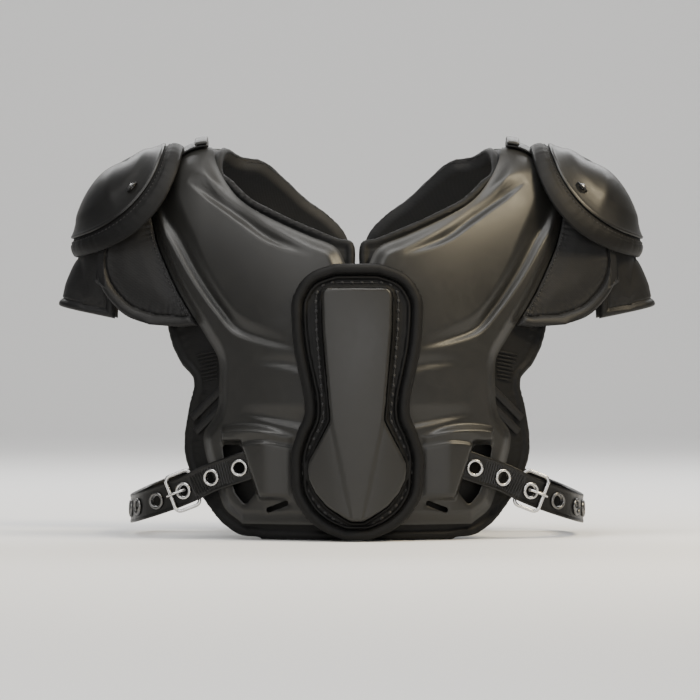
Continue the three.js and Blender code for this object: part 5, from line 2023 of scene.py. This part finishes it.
@dataclass
class Studio:
    """Pale floor and backdrop in one sweep, soft lights, and the camera of the photograph."""

    distance: float = 5.0
    width_seen: float = 0.63
    centre: tuple[float, float, float] = (-0.0063, 0.0, 0.1656)
    elevation: float = 0.8
    white: tuple[float, float, float] = (1.0, 1.0, 1.0)
    daylight: tuple[float, float, float] = (1.0, 0.99, 0.97)
    amber: tuple[float, float, float] = (1.0, 0.85, 0.58)
    sky: float = 0.14

    def sweep(self) -> None:
        """Floor that curves up into a backdrop through a quarter circle."""
        x, t = np.meshgrid(np.linspace(-6.0, 6.0, 3), np.linspace(0.0, 1.0, 60))
        radius, back, front = 1.5, 3.0, -5.0
        angle = np.clip((t - 0.4) / 0.3, 0.0, 1.0) * math.pi / 2
        y = np.where(t < 0.4, front + (back - front) * t / 0.4, back + radius * np.sin(angle))
        z = radius * (1 - np.cos(angle)) + np.clip((t - 0.7) / 0.3, 0.0, 1.0) * 5.0
        mesh = bpy.data.meshes.new("floor")
        points = np.stack([x, y, z - 0.0005], axis=-1)
        numbers = np.arange(points.shape[0] * points.shape[1]).reshape(points.shape[:2])
        mesh.from_pydata(points.reshape(-1, 3), [], quads(numbers).tolist())
        mesh.shade_smooth()
        floor = bpy.data.objects.new("floor", mesh)
        bpy.context.scene.collection.objects.link(floor)
        board = Board("floor_paper")
        board.feed(Base_Color=(0.8, 0.8, 0.8, 1.0), Roughness=0.9)
        mesh.materials.append(board.material)

    def light(self, name: str, place: tuple, size: tuple, power: float, colour: tuple, aim: tuple) -> None:
        """One soft panel aimed at a point."""
        data = bpy.data.lights.new(name, "AREA")
        data.shape = "RECTANGLE"
        data.size, data.size_y = size
        data.energy = power
        data.color = colour
        lamp = bpy.data.objects.new(name, data)
        lamp.location = place
        lamp.rotation_euler = (Vector(aim) - Vector(place)).to_track_quat("-Z", "Y").to_euler()
        bpy.context.scene.collection.objects.link(lamp)

    def camera(self) -> None:
        """Camera in front, level but for a small tilt, so that the photograph's width is seen."""
        data = bpy.data.cameras.new("camera")
        data.sensor_width = 36.0
        data.lens = data.sensor_width * self.distance / self.width_seen
        data.clip_end = 50.0
        camera = bpy.data.objects.new("camera", data)
        tilt = math.radians(self.elevation)
        middle = Vector(self.centre)
        camera.location = middle + self.distance * Vector((0.0, -math.cos(tilt), math.sin(tilt)))
        camera.rotation_euler = (middle - camera.location).to_track_quat("-Z", "Y").to_euler()
        bpy.context.scene.collection.objects.link(camera)
        bpy.context.scene.camera = camera

    def build(self) -> None:
        """Sets the floor, the lights, the sky and the camera."""
        self.sweep()
        middle = (0.0, 0.0, 0.2)
        self.light("top_panel", (0.0, -0.3, 1.9), (1.2, 0.9), 26.0, self.daylight, middle)
        self.light("warm_panel", (0.95, -0.5, 1.25), (0.5, 0.5), 24.0, self.amber, (0.1, 0.0, 0.25))
        self.light("key_panel", (-1.1, -1.5, 1.9), (1.5, 1.2), 22.0, self.daylight, middle)
        self.light("front_panel", (0.0, -2.6, 0.75), (2.2, 0.9), 22.0, self.daylight, (0.0, 0.1, 0.3))
        self.light("rim_panel", (0.0, 1.4, 1.3), (2.4, 0.5), 26.0, self.white, middle)
        self.light("wall_panel", (0.0, 0.8, 2.6), (3.0, 0.6), 90.0, self.white, (0.0, 4.2, 1.2))
        world = bpy.data.worlds.new("sky")
        world.use_nodes = True
        background = world.node_tree.nodes["Background"]
        background.inputs["Color"].default_value = (*self.white, 1.0)
        background.inputs["Strength"].default_value = self.sky
        bpy.context.scene.world = world
        self.camera()


def main() -> None:
    """Builds every piece and the studio in order."""
    logging.basicConfig(level=logging.INFO, format="%(name)s %(message)s")
    BodyLiner().build()
    ChestPlate().build()
    BackPlate().build()
    BodyFlap("front_flap", CHEST, False).build()
    BodyFlap("back_flap", BACK, True).build()
    ArmFlap().build()
    CUP.build_pad()
    CUP.build_shell()
    ShoulderStrap().build()
    SideBelt().build()
    SternumGuard().build()
    BackStrip().build()
    Studio().build()


if __name__ == "__main__":
    main()
